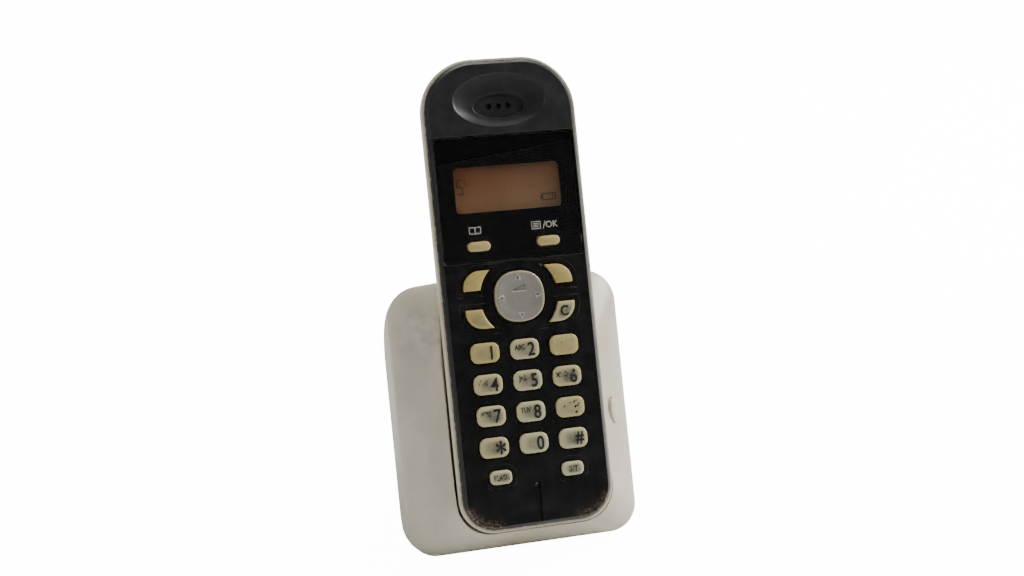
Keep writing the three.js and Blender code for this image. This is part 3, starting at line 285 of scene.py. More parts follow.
def table_block(name, x0, x1, y0, y1, z0, z1):
    """A box squared to the table, in millimetres from the origin on it."""
    corners = np.array([[x, y, z] for y in (y0, y1) for x, z in ((x1, z0), (x1, z1), (x0, z1), (x0, z0))])
    return new_piece(name, corners * MM, ring_faces(2, 4))


def lathe(name, profile, centre, axis, sides=32):
    """(radius, along) points turned about an axis through a centre; the ends close with one face each."""
    axis = np.asarray(axis, float)
    side = np.cross(axis, (0.0, 0.0, 1.0) if abs(axis[2]) < 0.9 else (1.0, 0.0, 0.0))
    side /= np.linalg.norm(side)
    other = np.cross(axis, side)
    a = np.linspace(0, 2 * np.pi, sides, endpoint=False)
    circle = np.cos(a)[:, None] * side - np.sin(a)[:, None] * other
    profile = np.asarray(profile, float)
    points = np.asarray(centre) + MM * (profile[:, 0, None, None] * circle + profile[:, 1, None, None] * axis)
    return new_piece(name, points, ring_faces(len(profile), sides))


def bake(piece, angle=35.0):
    """Puts what a piece's modifiers make of it into its mesh."""
    graph = bpy.context.evaluated_depsgraph_get()
    piece.data = bpy.data.meshes.new_from_object(piece.evaluated_get(graph))
    piece.modifiers.clear()
    shade(piece, angle)


def carve(piece, cutters, operation="DIFFERENCE", angle=35.0):
    """Cuts, joins or keeps only what is common, then deletes the cutters."""
    for cutter in cutters:
        outward(cutter)
        modifier = piece.modifiers.new("carve", "BOOLEAN")
        modifier.operation = operation
        modifier.solver = "EXACT"
        modifier.object = cutter
    bake(piece, angle)
    for cutter in cutters:
        mesh = cutter.data
        bpy.data.objects.remove(cutter)
        bpy.data.meshes.remove(mesh)
    return piece


def outward(piece):
    """Turns faces so that they point out: the signed volume of a closed mesh is positive."""
    mesh = piece.data
    mesh.calc_loop_triangles()
    triangles = np.empty(len(mesh.loop_triangles) * 3, int)
    mesh.loop_triangles.foreach_get("vertices", triangles)
    p = mesh_points(mesh)[triangles.reshape(-1, 3)]
    p = p - p.mean((0, 1))
    if np.sum(p[:, 0] * np.cross(p[:, 1], p[:, 2])) < 0:
        mesh.flip_normals()


def even_faces(piece):
    """Lets big flat faces keep their own normal where a rounded edge runs into them."""
    modifier = piece.modifiers.new("even faces", "WEIGHTED_NORMAL")
    modifier.keep_sharp = True
    modifier.weight = 80


def set_attribute(piece, name, values):
    """Gives every vertex of a piece a number under a name."""
    attribute = piece.data.attributes.new(name, "FLOAT", "POINT")
    attribute.data.foreach_set("value", np.asarray(values, np.float32).ravel())


def settle(piece, body, slot, material, *nodes):
    """The piece rides on a body, has a finish and stands for CAD nodes."""
    piece.data.materials.clear()
    piece.data.materials.append(material)
    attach(piece, body)
    if nodes:
        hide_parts(*nodes)
    return piece


def ramp(values, low, high):
    """0 below low, 1 above high, and 3t^2 - 2t^3 between."""
    t = np.clip((np.asarray(values, float) - low) / (high - low), 0, 1)
    return t * t * (3 - 2 * t)


# ================================================================== shader nodes


class Nodes:
    """Adds nodes to a tree; a socket given as an input is linked, any other value is set on it."""

    def __init__(self, tree, leave=None):
        """leave is the output node of a group, where it has one."""
        self.tree = tree
        self.leave = leave

    def put(self, label, socket):
        """Sends a value out of the group under a name."""
        self.tree.links.new(socket, self.leave.inputs[label])

    def add(self, kind, *inputs, output=0, settings=None, **named):
        """One node, its inputs by place or by name, and the socket it gives out."""
        node = self.tree.nodes.new("ShaderNode" + kind)
        for key, value in (settings or {}).items():
            setattr(node, key, value)
        pairs = list(enumerate(inputs)) + [(key.replace("_", " "), value) for key, value in named.items()]
        for key, value in pairs:
            if isinstance(value, bpy.types.NodeSocket):
                self.tree.links.new(value, node.inputs[key])
            elif value is not None:
                node.inputs[key].default_value = value
        return node.outputs[output]

    def math(self, operation, *inputs, clamp=False):
        """One sum, product or other function of its inputs."""
        return self.add("Math", *inputs, settings={"operation": operation, "use_clamp": clamp})

    def noise(self, vector, scale, detail=2.0, roughness=0.5):
        """Cloudy noise between 0 and 1, scale to the millimetre."""
        return self.add("TexNoise", Vector=vector, Scale=scale, Detail=detail, Roughness=roughness)

    def ramp(self, value, low, high, start=0.0, end=1.0):
        """start below low, end above high, with a smooth step between."""
        return self.add(
            "MapRange", value, low, high, start, end, settings={"interpolation_type": "SMOOTHSTEP"}
        )

    def mix(self, factor, first, second):
        """The first colour at factor 0 and the second at 1."""
        node = self.tree.nodes.new("ShaderNodeMix")
        node.data_type = "RGBA"
        for index, value in ((0, factor), (6, first), (7, second)):
            if isinstance(value, bpy.types.NodeSocket):
                self.tree.links.new(value, node.inputs[index])
            else:
                node.inputs[index].default_value = value
        return node.outputs[2]

    def mapping(self, vector, location=(0, 0, 0), rotation=(0, 0, 0), scale=(1, 1, 1), kind="POINT"):
        """A place moved, turned and scaled."""
        return self.add("Mapping", vector, location, rotation, scale, settings={"vector_type": kind})


def new_group(name, inputs, outputs):
    """A shader node group with named sockets; gives its nodes and its input sockets by name."""
    group = bpy.data.node_groups.new(name, "ShaderNodeTree")
    for label, kind, value in inputs:
        socket = group.interface.new_socket(label, in_out="INPUT", socket_type=kind)
        if value is not None:
            socket.default_value = value
    for label, kind in outputs:
        group.interface.new_socket(label, in_out="OUTPUT", socket_type=kind)
    entry = group.nodes.new("NodeGroupInput")
    leave = group.nodes.new("NodeGroupOutput")
    return Nodes(group, leave), {label: entry.outputs[label] for label, _, _ in inputs}


VECTOR = ("Place", "NodeSocketVector", None)
AMOUNT = ("Amount", "NodeSocketFloat", 0.5)
SIZE = ("Size", "NodeSocketFloat", 1.0)
MASK = [("Mask", "NodeSocketFloat")]


def dust_group():
    """Fine pale specks, thicker where a slow noise is high."""
    n, inputs = new_group("dust", [VECTOR, AMOUNT], MASK)
    specks = n.ramp(n.noise(inputs["Place"], 3.4, 1.0), 0.69, 0.76)
    drifts = n.ramp(n.noise(inputs["Place"], 0.22, 3.0), 0.42, 0.68)
    thick = n.math("MULTIPLY", specks, n.math("ADD", drifts, 0.15))
    n.put("Mask", n.math("MULTIPLY", thick, inputs["Amount"], clamp=True))
    return n.tree


def scratch_group():
    """Thin lines where noise drawn out along two directions passes its middle, broken up by a slow noise."""
    n, inputs = new_group("scratches", [VECTOR, AMOUNT], MASK)
    lines = None
    for turn, seed in ((0.5, 3.0), (-0.9, 11.0)):
        drawn = n.mapping(inputs["Place"], (seed, seed, seed), (0.0, turn, 0.0), (1.4, 1.4, 0.05))
        middle = n.math("ABSOLUTE", n.math("SUBTRACT", n.noise(drawn, 1.0, 1.0), 0.5))
        line = n.ramp(middle, 0.0, 0.006, 1.0, 0.0)
        lines = line if lines is None else n.math("MAXIMUM", lines, line)
    patches = n.ramp(n.noise(inputs["Place"], 0.12, 2.0), 0.5, 0.66)
    n.put("Mask", n.math("MULTIPLY", n.math("MULTIPLY", lines, patches), inputs["Amount"], clamp=True))
    return n.tree


def smudge_group():
    """Slow cloudy patches between 0 and 1, as fingers leave."""
    n, inputs = new_group("smudges", [VECTOR, SIZE], MASK)
    shrunk = n.add("VectorMath", inputs["Place"], settings={"operation": "SCALE"}, Scale=inputs["Size"])
    n.put("Mask", n.ramp(n.noise(shrunk, 0.1, 4.0, 0.6), 0.35, 0.7))
    return n.tree


def grain_group():
    """The fine even pitting of a moulded surface, as a height."""
    n, inputs = new_group("moulded grain", [VECTOR, SIZE], [("Height", "NodeSocketFloat")])
    shrunk = n.add("VectorMath", inputs["Place"], settings={"operation": "SCALE"}, Scale=inputs["Size"])
    n.put("Height", n.noise(shrunk, 5.0, 2.0))
    return n.tree


GROUPS = {
    "dust": dust_group(),
    "scratches": scratch_group(),
    "smudges": smudge_group(),
    "grain": grain_group(),
}


class Finish(Nodes):
    """One material on a Principled shader, with its pattern in leaning millimetres."""

    def __init__(self, name, **constants):
        """constants are set straight on the shader's own sockets."""
        self.material = bpy.data.materials.new(name)
        self.material.use_nodes = True
        super().__init__(self.material.node_tree)
        self.shader = self.tree.nodes["Principled BSDF"]
        for key, value in constants.items():
            self.shader.inputs[key.replace("_", " ")].default_value = value
        raw = self.tree.nodes.new("ShaderNodeTexCoord").outputs["Object"]
        self.place = self.mapping(raw, tuple(ORIGIN), (-LEAN, 0, 0), (MM, MM, MM), "TEXTURE")
        split = self.tree.nodes.new("ShaderNodeSeparateXYZ")
        self.tree.links.new(self.place, split.inputs[0])
        self.x, self.depth, self.height = split.outputs

    def effect(self, name, **inputs):
        """One of the shared groups, with this finish's own values."""
        node = self.tree.nodes.new("ShaderNodeGroup")
        node.node_tree = GROUPS[name]
        self.tree.links.new(self.place, node.inputs["Place"])
        for key, value in inputs.items():
            if isinstance(value, bpy.types.NodeSocket):
                self.tree.links.new(value, node.inputs[key])
            else:
                node.inputs[key].default_value = value
        return node.outputs[0]

    def attribute(self, name):
        """The number that each vertex carries under a name."""
        node = self.tree.nodes.new("ShaderNodeAttribute")
        node.attribute_name = name
        return node.outputs["Fac"]

    def feed(self, socket, value):
        """Drives one of the shader's sockets."""
        self.tree.links.new(value, self.shader.inputs[socket])

    def relief(self, height, strength, distance):
        """Feeds a height to the normal; distance is in millimetres."""
        node = self.tree.nodes.new("ShaderNodeBump")
        node.inputs["Strength"].default_value = strength
        node.inputs["Distance"].default_value = distance * MM
        self.tree.links.new(height, node.inputs["Height"])
        self.feed("Normal", node.outputs[0])

    def near(self, x, depth, height, inner, outer):
        """1 within the inner distance of a place and 0 past the outer one."""
        away = self.add(
            "VectorMath", self.place, (x, depth, height), settings={"operation": "DISTANCE"}, output=1
        )
        return self.ramp(away, inner, outer, 1.0, 0.0)


def grey(value):
    """One value for red, green and blue."""
    return (value, value, value, 1.0)


# ================================================================== finishes


def black_case_finish():
    """Satin black plastic: charcoal round the earpiece, dusty wells, a painted grey reflection on the
    chamfer, a scuffed arc under the keypad, and paint worn at the bottom corners down to the brown and cream
    below it."""
    f = Finish("black_case_satin", Specular_IOR_Level=0.3)
    smudges = f.effect("smudges", Size=1.4)
    dust = f.effect("dust", Amount=0.4)
    scratches = f.effect("scratches", Amount=0.35)
    earpiece = f.ramp(f.height, 119.2, 119.6)
    keypad = f.mix(smudges, (0.0016, 0.0016, 0.0016, 1), (0.0032, 0.0031, 0.003, 1))
    charcoal = f.mix(smudges, (0.0115, 0.012, 0.013, 1), (0.016, 0.0165, 0.0178, 1))
    colour = f.mix(earpiece, keypad, charcoal)
    # painted reflection: the chamfer is coloured a lighter grey to stand for the pale room mirrored in its
    # slope
    colour = f.mix(f.math("MULTIPLY", f.attribute("chamfer"), 0.8), colour, (0.016, 0.0162, 0.0172, 1))
    crumbs = f.ramp(f.noise(f.place, 4.2, 1.0), 0.6, 0.68)
    crumbs = f.math("MULTIPLY", crumbs, f.ramp(f.noise(f.place, 0.35, 2.0), 0.42, 0.6))
    crumbs = f.math("MULTIPLY", crumbs, f.attribute("well"))
    colour = f.mix(f.math("MULTIPLY", crumbs, 0.8), colour, (0.085, 0.068, 0.035, 1))
    colour = f.mix(dust, colour, (0.10, 0.095, 0.085, 1))
    colour = f.mix(f.math("MULTIPLY", scratches, 0.5), colour, (0.06, 0.06, 0.06, 1))
    # the arc sags by a square law away from the middle
    sag = f.math("MULTIPLY", f.math("MULTIPLY", f.x, f.x), -0.012)
    off_arc = f.math("ABSOLUTE", f.math("SUBTRACT", f.height, f.math("ADD", sag, 5.8)))
    near_middle = f.ramp(f.math("ABSOLUTE", f.x), 7.0, 12.0, 1.0, 0.0)
    speckle = f.ramp(f.noise(f.place, 2.8, 4.0, 0.7), 0.48, 0.64)
    scuff = f.math("MULTIPLY", f.math("MULTIPLY", f.ramp(off_arc, 0.3, 1.9, 1.0, 0.0), near_middle), speckle)
    colour = f.mix(f.math("MULTIPLY", scuff, 0.5), colour, (0.045, 0.043, 0.038, 1))
    # the bottom corners, as distance from the centre of each corner's round
    folded = f.add("CombineXYZ", f.math("ABSOLUTE", f.x), 0.0, f.height)
    away = f.add("VectorMath", folded, (13.5, 0.0, 10.4), settings={"operation": "DISTANCE"}, output=1)
    corner = f.math("MULTIPLY", f.ramp(away, 6.4, 9.3), f.ramp(f.height, 9.5, 6.5))
    corner = f.math("MULTIPLY", corner, f.ramp(f.math("ABSOLUTE", f.x), 10.0, 14.0))
    patchy = f.ramp(f.noise(f.place, 0.9, 6.0, 0.72), 0.42, 0.55)
    worn = f.math("MULTIPLY", corner, patchy)
    flecks = f.ramp(f.noise(f.place, 1.9, 5.0, 0.75), 0.48, 0.64)
    paint = f.mix(flecks, (0.03, 0.021, 0.011, 1), (0.30, 0.245, 0.15, 1))
    colour = f.mix(worn, colour, paint)
    f.feed("Base Color", colour)
    rough = f.ramp(smudges, 0.0, 1.0, 0.3, 0.42)
    rough = f.math("ADD", rough, f.math("MULTIPLY", f.math("MAXIMUM", worn, earpiece), 0.12))
    rough = f.math("ADD", rough, f.math("MULTIPLY", dust, 0.3), clamp=True)
    f.feed("Roughness", rough)
    height = f.math("SUBTRACT", f.effect("grain", Size=1.0), f.math("MULTIPLY", scratches, 2.0))
    f.relief(f.math("SUBTRACT", height, f.math("MULTIPLY", worn, 1.5)), 0.3, 0.03)
    return f.material


def cream_case_finish(name="cream_case", grime=1.0):
    """Cream plastic gone a little yellow, with brown grime lying along the seam with the front case."""
    f = Finish(name, Specular_IOR_Level=0.5)
    smudges = f.effect("smudges", Size=0.8)
    colour = f.mix(smudges, (0.53, 0.485, 0.36, 1), (0.62, 0.58, 0.45, 1))
    dust = f.effect("dust", Amount=0.35)
    colour = f.mix(dust, colour, (0.16, 0.13, 0.09, 1))
    broken = f.ramp(f.noise(f.place, 0.5, 4.0, 0.6), 0.3, 0.6, -0.07, 0.05)
    seam = f.math("MULTIPLY", f.ramp(f.math("ADD", f.attribute("seam"), broken), 0.3, 0.46), grime)
    colour = f.mix(f.math("MULTIPLY", seam, 0.9), colour, (0.05, 0.038, 0.018, 1))
    f.feed("Base Color", colour)
    f.feed("Roughness", f.ramp(smudges, 0.0, 1.0, 0.36, 0.5))
    f.relief(f.effect("grain", Size=0.8), 0.3, 0.03)
    return f.material


def base_finish(name, low, high):
    """Warm off-white moulded plastic, greyer in cloudy patches high on its broad left flank, with fine dark
    specks.
    """
    f = Finish(name, Specular_IOR_Level=0.5)
    smudges = f.effect("smudges", Size=0.45)
    colour = f.mix(smudges, low, high)
    mottle = f.math("MULTIPLY", f.near(-29.0, 12.0, 62.0, 3.0, 15.0), f.effect("smudges", Size=2.6))
    colour = f.mix(f.math("MULTIPLY", mottle, 0.4), colour, (0.2, 0.19, 0.17, 1))
    specks = f.ramp(f.noise(f.place, 1.3, 1.0), 0.74, 0.79)
    few = f.ramp(f.noise(f.place, 0.16, 1.0), 0.55, 0.65)
    colour = f.mix(f.math("MULTIPLY", specks, few), colour, (0.09, 0.08, 0.07, 1))
    speck = f.near(-28.3, 12.6, 58.0, 0.18, 0.4)
    colour = f.mix(f.math("MULTIPLY", speck, 0.8), colour, (0.05, 0.045, 0.04, 1))
    f.feed("Base Color", colour)
    f.feed("Roughness", f.ramp(smudges, 0.0, 1.0, 0.4, 0.52))
    f.relief(f.effect("grain", Size=0.9), 0.35, 0.035)
    return f.material


def key_finish():
    """Milky plastic: yellowed up the keypad, worn grey in the middle where thumbs press; the rim keeps the
    yellowed fresh colour, partly unworn plastic and partly a painted highlight on the rounded edge.
    """
    f = Finish("key_milky_cream", Subsurface_Weight=0.12, Subsurface_Scale=0.001, Specular_IOR_Level=0.5)
    tan = f.attribute("tan")
    rim = f.attribute("rim")
    worn = f.attribute("worn")
    smudges = f.effect("smudges", Size=4.0)
    fresh = f.mix(tan, (0.50, 0.475, 0.30, 1), (0.42, 0.33, 0.115, 1))
    middle = f.mix(f.ramp(smudges, 0.0, 1.0, 0.7, 1.0), fresh, (0.085, 0.088, 0.072, 1))
    # the ring round the worn middle keeps the fresh colour: partly unworn plastic, partly a painted highlight
    # on the rounded edge
    spot = f.math("MULTIPLY", f.ramp(rim, 0.62, 0.9, 1.0, 0.0), worn)
    colour = f.mix(spot, fresh, middle)
    dirt = f.math("MULTIPLY", f.ramp(rim, 0.98, 1.03), f.ramp(f.noise(f.place, 1.0, 3.0), 0.35, 0.65))
    colour = f.mix(f.math("MULTIPLY", dirt, 0.75), colour, (0.07, 0.055, 0.03, 1))
    f.feed("Base Color", colour)
    f.feed("Roughness", f.ramp(smudges, 0.0, 1.0, 0.3, 0.42))
    f.relief(f.effect("grain", Size=0.6), 0.15, 0.02)
    return f.material


def nav_finish():
    """Silver-grey pearl with fine sparkle inside a cream rim."""
    f = Finish("nav_pearl_silver", Specular_IOR_Level=0.6, Coat_Weight=0.25, Coat_Roughness=0.15)
    rim = f.attribute("rim")
    sparkle = f.ramp(f.noise(f.place, 9.0, 1.0), 0.3, 0.8)
    pearl = f.mix(sparkle, (0.235, 0.225, 0.195, 1), (0.40, 0.385, 0.34, 1))
    colour = f.mix(f.ramp(rim, 0.92, 0.955), pearl, (0.34, 0.305, 0.19, 1))
    dirt = f.math("MULTIPLY", f.ramp(rim, 0.985, 1.03), f.ramp(f.noise(f.place, 0.9, 3.0), 0.35, 0.65))
    colour = f.mix(f.math("MULTIPLY", dirt, 0.7), colour, (0.08, 0.06, 0.035, 1))
    f.feed("Base Color", colour)
    f.feed("Roughness", f.ramp(sparkle, 0.0, 1.0, 0.28, 0.4))
    f.feed("Metallic", f.ramp(rim, 0.92, 0.955, 0.35, 0.0))
    f.relief(f.effect("grain", Size=1.5), 0.12, 0.02)
    return f.material


def print_finish(name, colour, worn=True):
    """Printed ink, which on the navigation key also paints the highlight and shade of its triangles; where it
    is worn the ink thins out in patches, as its own wear says.
    """
    f = Finish(name, Roughness=0.45)
    shade_of = f.mix(f.noise(f.place, 3.0, 2.0), colour, tuple(0.6 * c for c in colour[:3]) + (1.0,))
    f.feed("Base Color", shade_of)
    if worn:
        patches = f.noise(f.place, 0.9, 5.0, 0.65)
        left = f.math("SUBTRACT", patches, f.attribute("wear"))
        f.feed("Alpha", f.ramp(left, -0.02, 0.03))
    return f.material


def lens_finish():
    """Clear plastic with fine scratches and dust in its gloss; light reaches what lies behind it."""
    f = Finish(
        "lens_smoked_clear", Base_Color=(0.96, 0.95, 0.93, 1), Roughness=0.03, IOR=1.33,
        Transmission_Weight=1.0,
    )
    marks_on_it = f.math("MAXIMUM", f.effect("scratches", Amount=0.3), f.effect("dust", Amount=0.2))
    f.feed("Roughness", f.ramp(marks_on_it, 0.0, 1.0, 0.0, 0.2))
    see_through = f.tree.nodes.new("ShaderNodeBsdfTransparent")
    see_through.inputs["Color"].default_value = (0.9, 0.88, 0.85, 1)
    lit = f.tree.nodes.new("ShaderNodeLightPath")
    blend = f.tree.nodes.new("ShaderNodeMixShader")
    out = f.tree.nodes["Material Output"]
    f.tree.links.new(lit.outputs["Is Shadow Ray"], blend.inputs[0])
    f.tree.links.new(f.shader.outputs[0], blend.inputs[1])
    f.tree.links.new(see_through.outputs[0], blend.inputs[2])
    f.tree.links.new(blend.outputs[0], out.inputs["Surface"])
    return f.material


def gloss_black_finish():
    """The printed black behind the lens, with a little dust on it."""
    f = Finish("lens_mask_gloss_black", Roughness=0.15, Specular_IOR_Level=0.08)
    dust = f.effect("dust", Amount=0.15)
    f.feed("Base Color", f.mix(dust, (0.0008, 0.0008, 0.0009, 1), (0.02, 0.02, 0.018, 1)))
    return f.material


LATTICE = 21.0  # radians to the millimetre, in the display's fine lattice


def lcd_finish():
    """Unlit amber display with a faint painted glow: browner up and to the left, greyer down and to the
    right, over a fine lattice.
    """
    f = Finish("lcd_amber", Roughness=0.35, Specular_IOR_Level=0.4)
    across = f.ramp(f.x, -17.0, 17.0)
    down = f.ramp(f.height, 111.0, 96.0)
    share = f.math("MULTIPLY", f.math("ADD", across, f.math("MULTIPLY", down, 1.2)), 0.45, clamp=True)
    colour = f.mix(share, (0.105, 0.034, 0.010, 1), (0.135, 0.084, 0.044, 1))
    cloud = f.effect("smudges", Size=1.0)
    colour = f.mix(f.math("MULTIPLY", cloud, 0.25), colour, (0.155, 0.088, 0.046, 1))
    columns = f.math("MULTIPLY", f.math("SINE", f.math("MULTIPLY", f.x, LATTICE)), 0.5)
    rows = f.math("MULTIPLY", f.math("SINE", f.math("MULTIPLY", f.height, LATTICE)), 0.5)
    lattice = f.math("MAXIMUM", columns, rows)
    colour = f.mix(f.math("MULTIPLY", f.ramp(lattice, 0.42, 0.5), 0.18), colour, (0.08, 0.035, 0.012, 1))
    f.feed("Base Color", colour)
    # painted glow: the display emits its own colour faintly, though it is no lamp
    f.feed("Emission Color", colour)
    f.shader.inputs["Emission Strength"].default_value = 0.12
    return f.material


def simple_finish(name, low, high, rough=(0.4, 0.55)):
    """A plain moulding or part with slow colour change and a fine grain."""
    f = Finish(name)
    smudges = f.effect("smudges", Size=2.0)
    f.feed("Base Color", f.mix(smudges, (*low, 1), (*high, 1)))
    f.feed("Roughness", f.ramp(smudges, 0.0, 1.0, *rough))
    f.relief(f.effect("grain", Size=1.0), 0.3, 0.02)
    return f.material


def brushed_finish(name, low, high):
    """Rolled metal: noise drawn out across the strip in colour and roughness."""
    f = Finish(name, Metallic=1.0)
    drawn = f.mapping(f.place, scale=(0.4, 6.0, 6.0))
    lines = f.noise(drawn, 2.0, 4.0, 0.6)
    f.feed("Base Color", f.mix(lines, (*low, 1), (*high, 1)))
    f.feed("Roughness", f.ramp(lines, 0.3, 0.7, 0.2, 0.42))
    f.relief(lines, 0.2, 0.01)
    return f.material


def board_finish():
    """Green lacquer over copper tracks: patches of noise where track shows paler, over a faint gold grid."""
    f = Finish("board_green", Specular_IOR_Level=0.6)
    cell = f.add("TexBrick", f.place, Scale=0.6)
    tracks = f.ramp(f.noise(f.place, 0.5, 0.0), 0.45, 0.5)
    colour = f.mix(tracks, (0.012, 0.07, 0.022, 1), (0.03, 0.13, 0.04, 1))
    f.feed("Base Color", f.mix(f.math("MULTIPLY", f.ramp(cell, 0.0, 1.0), 0.2), colour, (0.4, 0.3, 0.1, 1)))
    f.feed("Roughness", f.ramp(tracks, 0.0, 1.0, 0.3, 0.4))
    return f.material


def cell_finish():
    """Shrink sleeve: green with a pale band near the top end."""
    f = Finish("cell_sleeve", Specular_IOR_Level=0.6)
    band = f.math("MULTIPLY", f.ramp(f.height, 60.0, 60.3), f.ramp(f.height, 66.0, 66.3, 1.0, 0.0))
    sleeve = f.mix(f.effect("smudges", Size=2.0), (0.02, 0.12, 0.04, 1), (0.03, 0.16, 0.06, 1))
    f.feed("Base Color", f.mix(band, sleeve, (0.6, 0.6, 0.55, 1)))
    f.feed("Roughness", f.ramp(f.effect("smudges", Size=3.0), 0.0, 1.0, 0.25, 0.4))
    return f.material


BLACK_CASE = black_case_finish()
CREAM_CASE = cream_case_finish()
COVER_CREAM = cream_case_finish("battery_cover_cream", grime=0.0)
BASE_SHELL = base_finish("base_off_white", (0.50, 0.46, 0.355, 1), (0.585, 0.545, 0.43, 1))
PAGE_SHELL = base_finish("page_button_off_white", (0.55, 0.505, 0.40, 1), (0.62, 0.58, 0.47, 1))
KEYS = key_finish()
NAV = nav_finish()
KEY_INK = print_finish("key_ink", (0.003, 0.003, 0.003, 1))
WHITE_INK = print_finish("panel_ink_white", (0.55, 0.54, 0.52, 1), worn=False)
LCD_INK = print_finish("lcd_segments", (0.010, 0.004, 0.002, 1), worn=False)
# the navigation key's pale marks: painted highlight on its triangles, and the bar
NAV_CREAM_INK_AND_HIGHLIGHT = print_finish("nav_ink_cream", (0.62, 0.60, 0.52, 1), worn=False)
# the navigation key's grey marks: painted shade on its triangles, and the wedge's outline
NAV_GREY_INK_AND_SHADE = print_finish("nav_ink_grey", (0.12, 0.12, 0.12, 1), worn=False)
LENS_CLEAR = lens_finish()
MASK_BLACK = gloss_black_finish()
LCD = lcd_finish()
LCD_WHITE = simple_finish("lcd_frame_white", (0.55, 0.55, 0.52), (0.62, 0.62, 0.59))
DARK = simple_finish("dark_plastic", (0.012, 0.012, 0.014), (0.022, 0.022, 0.024), (0.35, 0.55))
STEEL = brushed_finish("nickel_plate", (0.5, 0.5, 0.5), (0.68, 0.67, 0.65))
BRASS = brushed_finish("gold_plate", (0.62, 0.42, 0.16), (0.8, 0.6, 0.28))
MAT = simple_finish("mat_rubber", (0.12, 0.12, 0.125), (0.17, 0.17, 0.175), (0.75, 0.9))
FOOT = simple_finish("foot_rubber", (0.018, 0.018, 0.018), (0.032, 0.032, 0.032), (0.8, 0.95))
BOARD = board_finish()
CELL = cell_finish()

# ================================================================== handset mouldings


def back_inset(depth):
    """How far the body has closed in: a draft that sets in by a hyperbola, less a slight swell just behind
    the rim that dies away exponentially, and a fourth-power rounding."""
    behind = np.maximum(np.asarray(depth, float) - RIM_DEPTH, 0)
    draft = BACK_DRAFT * (np.sqrt(behind**2 + DRAFT_START**2) - DRAFT_START)
    swell = BACK_SWELL * (1 - np.exp(-behind / 1.2)) * np.exp(-behind / 9)
    return draft - swell + BACK_ROUND * (behind / (HANDSET_DEPTH - RIM_DEPTH)) ** 4


BODY_COUNTS = {"corner": 14, "side": 10, "across": 5}  # points of each stretch of the handset's outline


def body_outline(inset, extra=0.0):
    """The handset's outline drawn in by an inset; extra lengthens it past both ends."""
    return rounded_outline(
        RIM_HALF_WIDTH - inset, RIM_BOTTOM + inset - extra, RIM_TOP - inset + extra,
        BOTTOM_RADIUS, TOP_RADIUS, **BODY_COUNTS,
    )


def face_outline(inset):
    """The outline of the black face, set back from the body's and drawn in by an inset."""
    drawn_in = FACE_SET_BACK + inset
    return rounded_outline(
        RIM_HALF_WIDTH - drawn_in, RIM_BOTTOM + drawn_in, RIM_TOP - drawn_in,
        BOTTOM_RADIUS - drawn_in, TOP_RADIUS - drawn_in, **BODY_COUNTS,
    )


def body_rings(shrink, front, count=26, extra=0.0):
    """Outlines of the handset's back from a depth to its end, all shrunk by one wall."""
    depths = front + (HANDSET_DEPTH - shrink - front) * np.linspace(0, 1, count) ** 0.8
    return [(body_outline(shrink + float(back_inset(d + shrink)), extra), float(d)) for d in depths]


KEY_PITCH = (12.45, 9.58)
TOP_ROW = 53.9
SMALL_KEY_PLACE = (11.33, 16.0)
SOFT_KEY_PLACE = (10.9, 86.1)
CORNER_KEY_PLACE = (13.4, 6.1)


def digit_key(column, row):
    """Middle and outline by growth of a key of the keypad, counted from its top left."""
    x, z = (column - 1) * KEY_PITCH[0], TOP_ROW - KEY_PITCH[1] * row
    return (x, z), lambda grow: box_outline(x, z, (4.45, 3.05), 2.2, grow)


def small_key(side):
    """Middle and outline by growth of a small key below the keypad."""
    x, z = side * SMALL_KEY_PLACE[0], SMALL_KEY_PLACE[1]
    return (x, z), lambda grow: box_outline(x, z, (3.4, 2.1), 1.6, grow)


def soft_key(side):
    """Middle and outline by growth of a key under the display."""
    x, z = side * SOFT_KEY_PLACE[0], SOFT_KEY_PLACE[1]
    return (x, z), lambda grow: box_outline(x, z, (3.5, 1.45), 1.45, grow)


def corner_key(side_x, side_z):
    """Middle and outline by growth of a key beside the navigation key."""
    middle = (side_x * CORNER_KEY_PLACE[0], NAV_CENTRE + side_z * CORNER_KEY_PLACE[1])
    return middle, lambda grow: corner_key_outline(side_x, side_z, grow)


# name: (middle, outline by growth), how tan the plastic has gone, how worn its middle is, depth of its recess
DIGITS = ["1", "2", "3", "4", "5", "6", "7", "8", "9", "star", "0", "hash"]
DIGIT_TAN = [0.85, 0.35, 0.75, 0.45, 0.25, 0.4, 0.25, 0.2, 0.55, 0.4, 0.2, 0.15]
DIGIT_WORN = [0.45, 0.8, 0.2, 0.75, 0.9, 0.95, 0.95, 0.95, 0.35, 0.9, 0.8, 1.0]
RECESS = 0.22
KEY_LIST = {
    f"key_{name}": (digit_key(i % 3, i // 3), DIGIT_TAN[i], DIGIT_WORN[i], 0.0)
    for i, name in enumerate(DIGITS)
}
KEY_LIST["small_key_left"] = (small_key(-1), 0.05, 0.9, RECESS)
KEY_LIST["small_key_right"] = (small_key(1), 0.1, 0.9, RECESS)
KEY_LIST["soft_key_left"] = (soft_key(-1), 0.85, 0.1, 0.0)
KEY_LIST["soft_key_right"] = (soft_key(1), 0.85, 0.1, 0.0)
KEY_LIST["corner_key_upper_left"] = (corner_key(-1, 1), 1.0, 0.05, RECESS)
KEY_LIST["corner_key_upper_right"] = (corner_key(1, 1), 1.0, 0.05, RECESS)
KEY_LIST["corner_key_lower_left"] = (corner_key(-1, -1), 0.9, 0.55, RECESS)
KEY_LIST["corner_key_lower_right"] = (corner_key(1, -1), 0.4, 0.9, RECESS)

